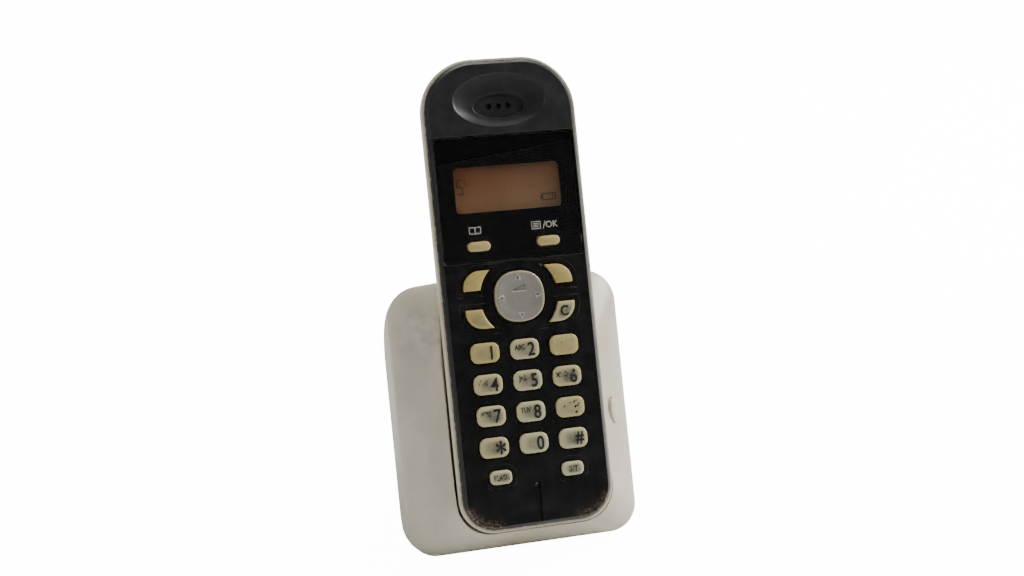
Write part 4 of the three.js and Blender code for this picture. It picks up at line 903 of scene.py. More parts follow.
KEY_DOME = 0.22
KEY_EDGE = 0.42
NAV_EDGE = 0.45
EDGE_TURNS = np.radians((22.5, 45.0, 67.5, 90.0))
DISH_MIDDLE, DISH_HALF = 130.2, (14.4, 7.95)
STEP_MIDDLE, STEP_HALF = 128.5, (8.35, 4.0)
EAR_HOLE_PITCH, EAR_HOLE_RADIUS = 3.04, 0.85
MIC_HEIGHT, MIC_RADIUS = 12.3, 0.8
GROOVE_HEIGHT = 6.6


def merged(name, pieces):
    """One mesh from several that don't meet."""
    points, faces, start = [], [], 0
    for piece in pieces:
        outward(piece)
        mesh = piece.data
        points.append(mesh_points(mesh))
        faces += [[v + start for v in polygon.vertices] for polygon in mesh.polygons]
        start += len(mesh.vertices)
        bpy.data.objects.remove(piece)
        bpy.data.meshes.remove(mesh)
    return new_piece(name, np.concatenate(points), faces)


def flared_well(outline, clearance, floor, back=6.0):
    """A hole whose mouth opens in a small round: growth and depth pairs below the surface it is cut in."""
    mouth = [(0.5, -0.3), (0.25, 0.02), (0.1, 0.1), (0.0, 0.26)]
    rings = [(outline(clearance + grow), floor + depth) for grow, depth in mouth]
    return loft("well", rings + [(outline(clearance), back)])


def shallow_recess(outline, depth, reach=1.7):
    """A shallow tray round a key, its edges rounded at the mouth and the floor."""
    rings = [(0.45, -0.3), (0.16, 0.02), (0.05, 0.08), (-0.06, depth - 0.03), (-0.12, depth)]
    return loft("recess", [(outline(reach + grow), at) for grow, at in rings])


def dish_cutter():
    """Lip, bowl and step of the earpiece: ellipses whose middle and half axes run in straight lines from the
    lip to the step while the depth follows a quarter sine, then a short wall down to the floor."""
    rings = []
    for grow, depth in ((0.7, -0.4), (0.3, 0.01), (0.12, 0.07)):
        rings.append((ellipse(0, DISH_MIDDLE, DISH_HALF[0] + grow, DISH_HALF[1] + grow, 72), depth))
    for t in np.linspace(0.0, 1.0, 12):
        middle = DISH_MIDDLE + (STEP_MIDDLE - DISH_MIDDLE) * t
        half_x, half_z = (wide + (narrow - wide) * t for wide, narrow in zip(DISH_HALF, STEP_HALF))
        rings.append((ellipse(0, middle, half_x, half_z, 72), 0.18 + 1.3 * math.sin(math.pi / 2 * t)))
    for shrink, depth in ((0.1, 1.52), (0.2, 1.62), (0.32, 2.1), (0.5, 2.2)):
        rings.append((ellipse(0, STEP_MIDDLE, STEP_HALF[0] - shrink, STEP_HALF[1] - shrink, 72), depth))
    return loft("dish", rings)


def microphone_cutters():
    """A hole with a funnel mouth, and the groove that runs down from it."""
    funnel = ((0.25, -0.2), (0.0, 0.5), (0.0, 5.0))
    hole = [(disc(0, MIC_HEIGHT, MIC_RADIUS + grow, 24), depth) for grow, depth in funnel]
    groove = [
        (box_outline(0, GROOVE_HEIGHT, (0.62, 5.6), 0.5), -0.1),
        (box_outline(0, GROOVE_HEIGHT, (0.4, 5.5), 0.39), 0.5),
    ]
    return [loft("mic_hole", hole), loft("mic_groove", groove)]


def make_front_case():
    """Face plate with a chamfered edge and the lip behind it, cut for the dish, lens, keys and microphone."""
    lip = [REAR_WALL + GAP + float(back_inset(depth + REAR_WALL)) for depth in (1.7, LIP_DEPTH)]
    edge = [(1.14, 0.0), (0.98, 0.02), (0.88, 0.1), (0.12, 1.02), (0.03, 1.14), (0.0, 1.28), (0.0, 1.7)]
    rings = [(face_outline(inset), depth) for inset, depth in edge]
    rings += [(body_outline(lip[0]), 1.7), (body_outline(lip[1]), LIP_DEPTH)]
    rings += [(body_outline(lip[1] + LIP_WALL), LIP_DEPTH), (body_outline(lip[1] + LIP_WALL), FACE_WALL)]
    case = loft("front_case", rings)
    backing = loft("dish_backing", [
        (ellipse(0, DISH_MIDDLE, 15.2, 8.9), 1.3),
        (ellipse(0, DISH_MIDDLE, 14.6, 8.4), 2.5),
        (ellipse(0, STEP_MIDDLE, 9.6, 5.2), 3.4),
    ])
    carve(case, [backing], "UNION")
    recesses = [shallow_recess(key[0][1], key[3]) for key in KEY_LIST.values() if key[3]]
    wells = [flared_well(outline, KEY_CLEARANCE, floor) for (_, outline), _, _, floor in KEY_LIST.values()]
    wells.append(flared_well(nav_outline, NAV_CLEARANCE, 0.0))
    seat = flared_well(lambda grow: box_outline(0, LENS_MIDDLE, LENS_HALF, 0.8, grow), GAP, 0.0, LENS_SEAT)
    window = slab("window", box_outline(0, WINDOW_MIDDLE, WINDOW_HALF, WINDOW_CORNER, 0.8), 0.5, 6.0)
    holes = [
        slab("ear_hole", disc(EAR_HOLE_PITCH * i, STEP_MIDDLE, EAR_HOLE_RADIUS, 20), 0.5, 5.0)
        for i in (-1, 0, 1)
    ]
    carve(case, [dish_cutter(), merged("recesses", recesses)])
    carve(case, [merged("wells", wells + holes), seat])
    carve(case, [window] + microphone_cutters())
    x, depth, height = leaning(mesh_points(case.data))
    outer = face_distance(x, height)
    # marks the chamfer, which the case colour lightens as a painted reflection
    set_attribute(case, "chamfer", (outer < 0.95) * (depth < 2.0) * (depth > 0.05))
    inside = (outer > 1.3) * (depth > 0.05) * (depth < 3.0) * (height < 121.0)
    set_attribute(case, "well", inside)
    even_faces(case)
    return settle(case, "handset", "black_case", BLACK_CASE, "handset_front_case")


def nav_outline(grow):
    """The navigation key's outline, grown evenly."""
    return superellipse(NAV_HALF_WIDTH + grow, NAV_SQUARENESS)


def face_distance(x, height):
    """How far inside the outline of the face a place is: the distance to a rounded rectangle, with its own
    corner radius at each end."""
    half, middle = RIM_HALF_WIDTH - FACE_SET_BACK, (RIM_TOP + RIM_BOTTOM) / 2
    half_height = (RIM_TOP - RIM_BOTTOM) / 2 - FACE_SET_BACK
    radius = np.where(height > middle, TOP_RADIUS, BOTTOM_RADIUS) - FACE_SET_BACK
    dx, dz = np.abs(x) - half + radius, np.abs(height - middle) - half_height + radius
    outside = np.hypot(np.maximum(dx, 0), np.maximum(dz, 0))
    return radius - outside - np.minimum(np.maximum(dx, dz), 0)


def make_key(name, middle, outline, tan, worn):
    """Domed cap with a rolled edge, straight body and a flange behind the face. The cap is its outline drawn
    towards its middle, its depth growing with the square of the share of the way to the edge."""
    middle = np.asarray(middle)
    top = outline(-KEY_EDGE)
    shares = np.linspace(0.12, 1.0, 9)
    rings = [(middle + s * (top - middle), KEY_DOME * s * s - KEY_PROUD) for s in shares]
    for turn in EDGE_TURNS:
        depth = KEY_DOME - KEY_PROUD + KEY_EDGE * (1 - math.cos(turn))
        rings.append((outline(-KEY_EDGE * (1 - math.sin(turn))), depth))
    rings += [(outline(0), 0.4), (outline(0), FLANGE_FRONT), (outline(KEY_FLANGE), FLANGE_FRONT)]
    rings.append((outline(KEY_FLANGE), FLANGE_BACK))
    key = loft(name + "_cap", rings)
    rim = np.concatenate([0.9 * shares, (0.94, 0.96, 0.98, 1.0), (1.1, 1.1, 1.1, 1.1)])
    set_attribute(key, "rim", np.repeat(rim, len(top)))
    set_attribute(key, "tan", np.full(len(key.data.vertices), tan))
    x, _, height = leaning(mesh_points(key.data))
    reach = (outline(0) - middle).max(0)
    from_thumb = np.hypot((x - middle[0] - 0.2 * reach[0]) / reach[0], (height - middle[1] + 0.1) / reach[1])
    set_attribute(key, "worn", worn * (1 - 0.8 * ramp(from_thumb, 0.35, 1.05)))
    return settle(key, name, "key_cream", KEYS, name)


def make_nav_key():
    """A squarish disc, slightly dished, with a raised rim: the depth is least at the rim, grows by a smooth
    step towards the middle, and rolls over the edge by a quarter circle."""
    shares = np.linspace(0.06, 1.0, 16)
    centre = np.array([0.0, NAV_CENTRE])
    top = nav_outline(-NAV_EDGE)
    rings = [(centre + s * (top - centre), nav_dish(s) - KEY_PROUD) for s in shares]
    for turn in EDGE_TURNS:
        depth = NAV_EDGE * (1 - math.cos(turn)) - KEY_PROUD
        rings.append((nav_outline(-NAV_EDGE * (1 - math.sin(turn))), depth))
    body, wide = nav_outline(0), nav_outline(KEY_FLANGE)
    rings += [(body, 0.4), (body, NAV_FLANGE_FRONT), (wide, NAV_FLANGE_FRONT), (wide, NAV_FLANGE_BACK)]
    key = loft("nav_key_cap", rings)
    rim = np.concatenate([0.96 * shares, (0.97, 0.98, 0.99, 1.0), (1.1, 1.1, 1.1, 1.1)])
    set_attribute(key, "rim", np.repeat(rim, len(top)))
    return settle(key, "nav_key", "nav_pearl", NAV, "nav_key")


def nav_dish(share):
    """Depth of the dished middle below the rim's crest."""
    return 0.3 * (1 - ramp(share, 0.55, 0.95))


def key_surface(middle, outline):
    """A function giving the depth of a key's domed cap at places on it."""
    middle = np.asarray(middle)
    reach = outline(-KEY_EDGE) - middle
    angles, radii = np.arctan2(reach[:, 1], reach[:, 0]), np.hypot(reach[:, 0], reach[:, 1])
    order = np.argsort(angles)

    def depth_at(x, z):
        """The dome's square law, by the share of the way from the middle to the edge."""
        dx, dz = x - middle[0], z - middle[1]
        edge = np.interp(np.arctan2(dz, dx), angles[order], radii[order], period=2 * np.pi)
        share = np.minimum(np.hypot(dx, dz) / edge, 1.0)
        return KEY_DOME * share**2 - KEY_PROUD

    return depth_at


def nav_surface(x, z):
    """Depth of the navigation key's dished face at places on it."""
    return nav_dish(np.hypot(x, z - NAV_CENTRE) / (NAV_HALF_WIDTH - NAV_EDGE)) - KEY_PROUD


def nav_upper_surface(x, z):
    """Where a second layer of marks lies on the navigation key: painted shade on the triangles and the
    wedge's print.
    """
    return nav_surface(x, z) - 2 * INK


INK = 0.03  # thickness of printed marks
PRINT_GRID = 0.45  # how finely they are cut to follow a surface


def lay_print(name, mesh, depth_at, body, slot, material, wear=None):
    """Lays a flat mesh drawn in (x, height, thickness) millimetres on a surface given by its depth. It is cut
    along a grid first, so that it follows the surface."""
    grid = bmesh.new()
    grid.from_mesh(mesh)
    low, high = mesh_points(mesh).min(0), mesh_points(mesh).max(0)
    for axis in (0, 1):
        square = [1.0 - axis, float(axis), 0.0]
        for at in np.arange(low[axis] + PRINT_GRID, high[axis], PRINT_GRID):
            geometry = grid.verts[:] + grid.edges[:] + grid.faces[:]
            bmesh.ops.bisect_plane(grid, geom=geometry, plane_co=[at * v for v in square], plane_no=square)
    grid.to_mesh(mesh)
    grid.free()
    points = mesh_points(mesh)
    x, z, thick = points.T
    lifted = depth_at(x, z) - INK - thick * INK
    mesh.vertices.foreach_set("co", place(x, lifted, z).ravel())
    mesh.update()
    piece = bpy.data.objects.new(name, mesh)
    bpy.context.scene.collection.objects.link(piece)
    if wear is not None:
        set_attribute(piece, "wear", np.full(len(points), wear))
    return settle(piece, body, slot, material)


def letters(text, x, z, height, stretch_x=1.0, bold=0.0):
    """A mesh of letters centred on a place, their capitals of a given height, one unit thick from 0 to 1."""
    curve = bpy.data.curves.new("letters", "FONT")
    curve.body = text
    curve.size = height / 0.72
    curve.align_x = "CENTER"
    curve.align_y = "CENTER"
    curve.offset = bold
    curve.extrude = 0.5
    curve.resolution_u = 4
    maker = bpy.data.objects.new("letters", curve)
    bpy.context.scene.collection.objects.link(maker)
    bpy.context.view_layer.update()
    mesh = bpy.data.meshes.new_from_object(maker.evaluated_get(bpy.context.evaluated_depsgraph_get()))
    bpy.data.objects.remove(maker)
    bpy.data.curves.remove(curve)
    points = mesh_points(mesh)
    low, high = points.min(0), points.max(0)
    points[:, :2] -= (low[:2] + high[:2]) / 2
    points = points * (stretch_x, 1.0, 1.0) + (x, z, 0.5)
    mesh.vertices.foreach_set("co", points.ravel())
    return mesh


def marks(polygons):
    """A mesh of flat marks one unit thick, each a list of (x, height) corners, anticlockwise."""
    points, faces, start = [], [], 0
    for polygon in polygons:
        count = len(polygon)
        for level in (1.0, 0.0):
            points += [(x, z, level) for x, z in polygon]
        front = [start + i for i in range(count)]
        back = [start + count + i for i in range(count)]
        faces += [front, back[::-1]]
        faces += [[front[(i + 1) % count], front[i], back[i], back[(i + 1) % count]] for i in range(count)]
        start += 2 * count
    mesh = bpy.data.meshes.new("marks")
    mesh.from_pydata(points, [], faces)
    return mesh


def strokes(lines, width):
    """Rectangles of a width round each stretch of each line of (x, height) points."""
    boxes = []
    for line in lines:
        for a, b in zip(line, line[1:]):
            a, b = np.asarray(a, float), np.asarray(b, float)
            along = (b - a) / np.linalg.norm(b - a)
            side = np.array([along[1], -along[0]]) * width / 2
            a, b = a - along * width / 2, b + along * width / 2
            boxes.append([tuple(a + side), tuple(b + side), tuple(b - side), tuple(a - side)])
    return boxes


def flat_at(depth):
    """A surface that lies at one depth."""
    return lambda x, z: np.full(np.shape(x), depth)


DIGIT_TEXT = ["1", "2", "3", "4", "5", "6", "7", "8", "9", "*", "0", "#"]
LETTER_TEXT = ["", "ABC", "DEF", "GHI", "JKL", "MNO", "PQRS", "TUV", "WXYZ", "", "", ""]
DIGIT_WEAR = [0.1, 0.1, 0.62, 0.1, 0.1, 0.44, 0.1, 0.1, 0.54, 0.1, 0.3, 0.1]
LETTER_WEAR = [0.1, 0.4, 0.6, 0.52, 0.46, 0.5, 0.45, 0.36, 0.57, 0.1, 0.1, 0.1]


def make_legends():
    """Digits, their letters and the short names of the lower keys, each as worn as its own row says."""
    for i, name in enumerate(DIGITS):
        key = f"key_{name}"
        (x, z), outline = KEY_LIST[key][0]
        depth_at = key_surface((x, z), outline)
        size = {"star": 6.6, "hash": 3.8}.get(name, 4.15)
        digit = letters(DIGIT_TEXT[i], x + 1.9, z - 0.1, size, 0.84, 0.1)
        lay_print(f"{key}_digit", digit, depth_at, key, "key_cream", KEY_INK, DIGIT_WEAR[i])
        if LETTER_TEXT[i]:
            narrow = 0.72 if len(LETTER_TEXT[i]) < 4 else 0.55
            small = letters(LETTER_TEXT[i], x - 1.7, z + 0.65, 1.65, narrow, 0.035)
            lay_print(f"{key}_letters", small, depth_at, key, "key_cream", KEY_INK, LETTER_WEAR[i])
    for key, text, wear in (("small_key_left", "FLASH", 0.48), ("small_key_right", "INT", 0.44)):
        (x, z), outline = KEY_LIST[key][0]
        label = letters(text, x + 0.1, z, 1.75, 0.72, 0.05)
        lay_print(f"{key}_label", label, key_surface((x, z), outline), key, "key_cream", KEY_INK, wear)
    (x, z), outline = KEY_LIST["corner_key_lower_right"][0]
    clear = letters("C", x + 0.15, z + 0.4, 3.1, 0.9, 0.1)
    lay_print(
        "corner_key_lower_right_label", clear, key_surface((x, z), outline),
        "corner_key_lower_right", "key_cream", KEY_INK, 0.36,
    )


def make_nav_marks():
    """Four small triangles pointing outwards, each a pale painted highlight with a painted shaded face, the
    light and shade of a raised triangle, and a volume wedge over a bar.
    """
    centre = np.array([0.0, NAV_CENTRE])
    pale, shaded = [], []
    for turn in np.radians((0, 90, 180, 270)):
        out, side = np.array([math.cos(turn), math.sin(turn)]), np.array([-math.sin(turn), math.cos(turn)])
        # pale corners: painted highlight, shaded corners: painted shade, as on a raised triangle lit from one
        # side
        pale_corners = (out * 5.0 - side * 0.98, out * 7.0, out * 5.0 + side * 0.98)
        shaded_corners = (out * 5.22 - side * 0.3, out * 6.5, out * 5.22 + side * 0.66)
        pale.append([tuple(centre + corner) for corner in pale_corners])
        shaded.append([tuple(centre + corner) for corner in shaded_corners])
    z = NAV_CENTRE + 1.5
    pale += strokes([[(-2.3, z), (1.9, z)]], 0.3)
    shaded += strokes([[(-1.7, z + 0.55), (1.8, z + 0.55), (1.8, z + 1.9), (-1.7, z + 0.55)]], 0.2)
    lay_print("nav_marks_ink_and_painted_highlight", marks(pale), nav_surface, "nav_key", "nav_pearl", NAV_CREAM_INK_AND_HIGHLIGHT)
    lay_print("nav_marks_ink_and_painted_shade", marks(shaded), nav_upper_surface, "nav_key", "nav_pearl", NAV_GREY_INK_AND_SHADE)


def make_panel_icons():
    """White print behind the lens: an open book, and a small page of lines beside a slash and letters."""
    x, z = -11.5, 91.1
    book = [
        [(x - 1.75, z - 0.9), (x - 1.75, z + 1.0), (x, z + 0.85), (x + 1.75, z + 1.0), (x + 1.75, z - 0.9),
         (x, z - 1.05), (x - 1.75, z - 0.9)],
        [(x, z + 0.85), (x, z - 1.05)],
    ]
    page = [[(6.35, z - 1.1), (6.35, z + 1.1), (9.1, z + 1.1), (9.1, z - 1.1), (6.35, z - 1.1)]]
    page += [[(7.0, z + step), (8.45, z + step)] for step in (-0.5, 0.0, 0.5)]
    slash = [[(9.95, z - 1.1), (10.65, z + 1.1)]]
    behind = flat_at(node_span("lens_mask")[0][1])
    icons = marks(strokes(book + page + slash, 0.24))
    accept = letters("OK", 12.75, z, 2.0, 0.95, 0.03)
    lay_print("panel_icons", icons, behind, "handset", "lens_black", WHITE_INK)
    lay_print("panel_ok", accept, behind, "handset", "lens_black", WHITE_INK)


def make_lcd_marks():
    """What the unlit segments still show: a digit and its neighbour's stroke, and a battery with one bar."""
    x, z, w, h = -15.4, 104.6, 1.7, 2.2
    five = [[(x + w, z + h), (x, z + h), (x, z + 0.1)], [(x + 0.3, z), (x + w - 0.2, z)],
            [(x + w, z - 0.3), (x + w, z - h), (x + 0.2, z - h)]]
    tick = [[(x + w + 0.9, z + h), (x + w + 0.9, z + 1.2)], [(x + w + 1.4, z + 0.7), (x + w + 1.7, z + 0.2)]]
    x, z = 13.1, 99.7
    battery = [[(x - 2.0, z - 0.95), (x - 2.0, z + 0.95), (x + 2.2, z + 0.95), (x + 2.2, z - 0.95),
                (x - 2.0, z - 0.95)], [(x - 2.45, z - 0.4), (x - 2.45, z + 0.4)]]
    cells = [[(x + 1.3, z - 0.35), (x + 1.3, z + 0.35)]]
    shapes = marks(strokes(five + tick + battery + cells, 0.3))
    lay_print("lcd_segments", shapes, flat_at(node_span("lcd_glass")[0][1]), "handset", "lcd", LCD_INK)


def make_lens():
    """Clear slab with rounded edges and flared holes for the two soft keys."""
    edge = [(-0.22, 0.0), (-0.06, 0.04), (0.0, 0.16), (0.0, 0.7), (-0.1, LENS_THICKNESS)]
    lens = loft("lens", [(box_outline(0, LENS_MIDDLE, LENS_HALF, 0.8, grow), depth) for grow, depth in edge])
    outlines = [KEY_LIST[key][0][1] for key in ("soft_key_left", "soft_key_right")]
    wells = [flared_well(outline, KEY_CLEARANCE, 0.0) for outline in outlines]
    rims = [shallow_recess(outline, 0.16, 1.1) for outline in outlines]
    carve(lens, [merged("rims", rims)])
    carve(lens, [merged("wells", wells)])
    even_faces(lens)
    return settle(lens, "handset", "lens_clear", LENS_CLEAR, "display_lens")


CELL_DEPTH = 20.6
COVER_HALF_WIDTH = 15.6
COVER_BOTTOM, COVER_TOP = 26.8, 77.6
COVER_WALL = 1.6
COVER_SLIDE = 5.0
BAY_WALL = 1.2
BAY_HALF_WIDTH, BAY_FRONT = 11.5, 14.55
BAY_BOTTOM, BAY_TOP = 27.4, 75.5
SEAT_WALL = 1.4
INNER_SET_BACK = 0.4
SCREW_X, SCREW_HEIGHT = 12.0, 121.6
SCREW_HEAD_DEPTH = 23.6
BOSS_RADIUS, BOSS_FRONT = 3.7, 9.7
CONTACT_X = 11.0
CONTACT_HALF_WIDTH = 2.4
SLOT_HEIGHT, SLOT_PITCH = 98.0, 2.0
GRIP_HEIGHT, GRIP_PITCH = 66.0, 1.7


def cover_zone(grow, lower):
    """A box round the battery cover, grown evenly and drawn down for its slide."""
    return block(
        "cover_zone", -COVER_HALF_WIDTH - grow, COVER_HALF_WIDTH + grow,
        CELL_DEPTH - 4 - grow, HANDSET_DEPTH + 5, COVER_BOTTOM - grow - lower, COVER_TOP + grow,
    )


def prism(shrink):
    """The handset's back without ends, shrunk by a wall."""
    return loft("prism", body_rings(shrink, RIM_DEPTH, extra=100.0))


def contact_zone(side, grow):
    """A box round a charging contact at the foot of the handset."""
    x, half = side * CONTACT_X, CONTACT_HALF_WIDTH + grow
    return block("contact_zone", x - half, x + half, 8 - grow, 16 + grow, RIM_BOTTOM - 5, 13.5)


def make_rear_case():
    """The back as a shell, with a seat and a bay for the cells, screw wells, contact windows and sound slots.
    What stands inside it stops within its wall, so that no two faces lie in one place."""
    inner = body_rings(REAR_WALL, RIM_DEPTH)[::-1]
    rolled = ((0.25, 0.0), (0.07, 0.08), (0.0, 0.25))
    rim = [(body_outline(inset), RIM_DEPTH + behind) for inset, behind in rolled]
    shell = loft("rear_case", inner + rim + body_rings(0, RIM_DEPTH + 0.5, 30))
    seat = loft("seat", body_rings(INNER_SET_BACK, RIM_DEPTH))
    carve(seat, [cover_zone(BAY_WALL, COVER_SLIDE + GAP)], "INTERSECT")
    carve(seat, [prism(COVER_WALL + GAP + SEAT_WALL)])
    bay = loft("bay_walls", body_rings(INNER_SET_BACK, RIM_DEPTH))
    bay_half = BAY_HALF_WIDTH + BAY_WALL
    bay_outer = block(
        "bay_outer", -bay_half, bay_half, BAY_FRONT - BAY_WALL, HANDSET_DEPTH,
        BAY_BOTTOM - BAY_WALL, BAY_TOP + BAY_WALL,
    )
    carve(bay, [bay_outer], "INTERSECT")
    bosses = [
        slab("boss", disc(side * SCREW_X, SCREW_HEIGHT, BOSS_RADIUS, 32), BOSS_FRONT, HANDSET_DEPTH)
        for side in (-1, 1)
    ]
    boss = loft("boss_body", body_rings(INNER_SET_BACK, RIM_DEPTH))
    carve(boss, [merged("bosses", bosses)], "INTERSECT")
    carve(shell, [seat, bay, boss], "UNION")
    recess = cover_zone(GAP, COVER_SLIDE + GAP)
    carve(recess, [prism(COVER_WALL + GAP)])
    hollow = block("bay", -BAY_HALF_WIDTH, BAY_HALF_WIDTH, BAY_FRONT, HANDSET_DEPTH + 1, BAY_BOTTOM, BAY_TOP)
    heads = [
        lathe("head_well", [(2.6, 8.0), (2.4, 7.5), (2.4, 0.0)][::-1],
              place(side * SCREW_X, SCREW_HEAD_DEPTH - GAP, SCREW_HEIGHT), INWARD)
        for side in (-1, 1)
    ]
    slots = [
        slab("sound_slot", box_outline(0, SLOT_HEIGHT + SLOT_PITCH * i, (2.6, 0.45), 0.44),
             HANDSET_DEPTH - 4, HANDSET_DEPTH + 1)
        for i in range(3)
    ]
    carve(shell, [recess, hollow])
    carve(shell, heads + [merged("slots", slots)])
    for side in (-1, 1):
        window = contact_zone(side, GAP)
        carve(window, [loft("behind_contact", body_rings(0.9, RIM_DEPTH - 1))])
        carve(shell, [window])
    x, depth, height = leaning(mesh_points(shell.data))
    inset = face_distance(x, height) + FACE_SET_BACK
    set_attribute(shell, "seam", np.clip(inset / REAR_WALL, 0, 1) * (depth < RIM_DEPTH + 0.2))
    even_faces(shell)
    return settle(shell, "handset", "cream_case", CREAM_CASE, "handset_rear_case")


def make_battery_cover():
    """A slice of the back between two ends, one wall thick, with a row of grip grooves."""
    cover = prism(0)
    cover.name = "battery_door"
    carve(cover, [cover_zone(0, 0)], "INTERSECT")
    carve(cover, [prism(COVER_WALL)])
    grooves = [
        slab("groove", box_outline(0, GRIP_HEIGHT + GRIP_PITCH * i, (6.0 - 0.5 * i, 0.4), 0.39),
             HANDSET_DEPTH - 0.3, HANDSET_DEPTH + 1)
        for i in range(5)
    ]
    carve(cover, [merged("grooves", grooves)])
    even_faces(cover)
    return settle(cover, "battery_cover", "cream_case", COVER_CREAM, "battery_cover")


SCREW_HEAD = 1.3  # height of a screw's head


def make_screws():
    """Two screws in the handset's back and two up into the base."""
    for side, place_name in ((-1, "left"), (1, "right")):
        node = f"handset_screw_{place_name}"
        at = place(side * SCREW_X, SCREW_HEAD_DEPTH + SCREW_HEAD, SCREW_HEIGHT)
        finish_screw(f"{node}_turned", "handset", at, -INWARD, UP, 14.0, node)
        node = f"base_screw_{place_name}"
        low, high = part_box(node)
        at = np.array([(low[0] + high[0]) / 2, (low[1] + high[1]) / 2, low[2]])
        finish_screw(f"{node}_turned", "base", at, np.array([0.0, 0.0, 1.0]), np.array([0.0, 1.0, 0.0]),
                     (high[2] - low[2]) / MM - SCREW_HEAD, node)


def finish_screw(name, body, at, axis, side, shank, node):
    """Turns the screw about its axis, from the middle of its head inwards, then cuts the cross."""
    a = np.linspace(0, np.pi / 2, 6)
    round_top = np.stack([0.9 + 1.2 * np.sin(a), 0.5 * (1 - np.cos(a))], -1)
    below = [(2.1, SCREW_HEAD), (1.1, SCREW_HEAD + 0.05), (1.1, shank), (0.4, shank + 0.9)]
    profile = np.concatenate([[(0.3, 0.0)], round_top, below])
    screw = lathe(name, profile, at, axis, 28)
    other = np.cross(axis, side)
    cutters = []
    for long_way, short_way in ((side, other), (other, side)):
        corners = []
        for along in (-0.5, 0.85):
            for u, v in ((1, 1), (-1, 1), (-1, -1), (1, -1)):
                corners.append(at + MM * (1.25 * u * long_way + 0.22 * v * short_way + along * axis))
        cutters.append(new_piece("cross", np.array(corners), ring_faces(2, 4)))
    outward(screw)
    carve(screw, cutters)
    settle(screw, body, "steel", STEEL, node)


# ================================================================== base mouldings

BASE_MIDDLE = np.array([0.0, 33.0])
RAYS = 420


def base_outline(inset, chin_inset, bottom_radius, **counts):
    """The outline of the base, drawn in at the sides and top by one inset and at its chin by another."""
    return rounded_outline(
        BASE_HALF_WIDTH - inset, BASE_BOTTOM + chin_inset, BASE_TOP - inset,
        bottom_radius, BASE_TOP_RADIUS, crown=BASE_CROWN, **counts,
    )


def ray_reach(outline, angles):
    """How far an outline lies from the middle of the base along each ray."""
    away = outline - BASE_MIDDLE
    turn, reach = np.arctan2(away[:, 1], away[:, 0]), np.hypot(away[:, 0], away[:, 1])
    order = np.argsort(turn)
    return np.interp(angles, turn[order], reach[order], period=2 * np.pi)


def level_at(reach, levels, values):
    """Reads, ray by ray, the value at a distance from levels that shrink with their index."""
    index = np.clip(np.sum(levels[:, None] >= reach[None], 0) - 1, 0, len(levels) - 2)
    rays = np.broadcast_to(np.arange(reach.shape[-1]), reach.shape)
    outer, inner = levels[index, rays], levels[index + 1, rays]
    share = np.clip((outer - reach) / np.maximum(outer - inner, 1e-6), 0, 1)
    return values[index] * (1 - share) + values[index + 1] * share


FINE = {"corner": 30, "side": 60, "across": 60}
ANGLES = np.linspace(-np.pi, np.pi, RAYS, endpoint=False)
PILLOW_SHARES = np.linspace(0, 1, 30)
PILLOW_LEVELS = np.stack([
    ray_reach(base_outline(
        BASE_FLANK_WIDTH * a, BASE_CHIN_HEIGHT * a,
        BASE_BOTTOM_RADIUS + (BASE_RIM_BOTTOM_RADIUS - BASE_BOTTOM_RADIUS) * a, **FINE,
    ), ANGLES)
    for a in PILLOW_SHARES
])
OPEN_TOP = 100.0  # how far the pocket runs on past the handset's top
POCKET_FLOOR = HANDSET_DEPTH + POCKET_CLEARANCE
POCKET_DEPTHS = np.concatenate([[-1.0], np.linspace(1.9, POCKET_FLOOR, 44)])
FLANK_POWER = 0.74


def pocket_outline(depth, clearance, **counts):
    """The handset's outline at a depth, grown by a clearance and open at the top."""
    inset = float(back_inset(depth - clearance)) - clearance
    return rounded_outline(
        RIM_HALF_WIDTH - inset, RIM_BOTTOM + inset, RIM_TOP + OPEN_TOP - inset,
        BOTTOM_RADIUS, TOP_RADIUS, **counts,
    )


POCKET_LEVELS = np.stack([
    ray_reach(pocket_outline(d, POCKET_CLEARANCE, **FINE), ANGLES) + 1e-4 * (len(POCKET_DEPTHS) - i)
    for i, d in enumerate(POCKET_DEPTHS)
])
POCKET_LEVELS = np.maximum.accumulate(POCKET_LEVELS[::-1])[::-1]  # without the swell's undercut


def rays_at(reach):
    """The (x, height) of places on the rays from the middle of the base."""
    return BASE_MIDDLE[0] + reach * np.cos(ANGLES), BASE_MIDDLE[1] + reach * np.sin(ANGLES)


def pillow_depth(reach):
    """Depth of the flanks and chin: from the outline to the rim by a power of the share of the way."""
    share = level_at(reach, PILLOW_LEVELS, PILLOW_SHARES)
    _, z = rays_at(reach)
    rim = BASE_RIM_DEPTH + BASE_RIM_SLOPE * np.maximum(z - BASE_RIM_SLOPE_START, 0)
    return BASE_OUTLINE_DEPTH + (rim - BASE_OUTLINE_DEPTH) * share**FLANK_POWER


def pocket_depth(reach):
    """Depth of the pocket's wall and floor, far in front where there is no pocket."""
    depth = level_at(reach, POCKET_LEVELS, POCKET_DEPTHS)
    return np.where(reach > POCKET_LEVELS[0], -60.0, depth)


ROLL = 0.8
SLOT_HALF_WIDTH = 1.8


def front_depth(reach):
    """The deeper of flank and pocket, blended by the root of a square sum so that the rim is rolled."""
    flank, pocket = pillow_depth(reach), pocket_depth(reach)
    return (flank + pocket + np.sqrt((flank - pocket) ** 2 + ROLL**2)) / 2


def top_drop(depth):
    """How far the top edge of the base has come down behind the seam."""
    share = np.maximum(depth - BASE_SPLIT_DEPTH, 0) / (BASE_REACH - BASE_SPLIT_DEPTH)
    return BASE_BACK_DROP * share**1.75


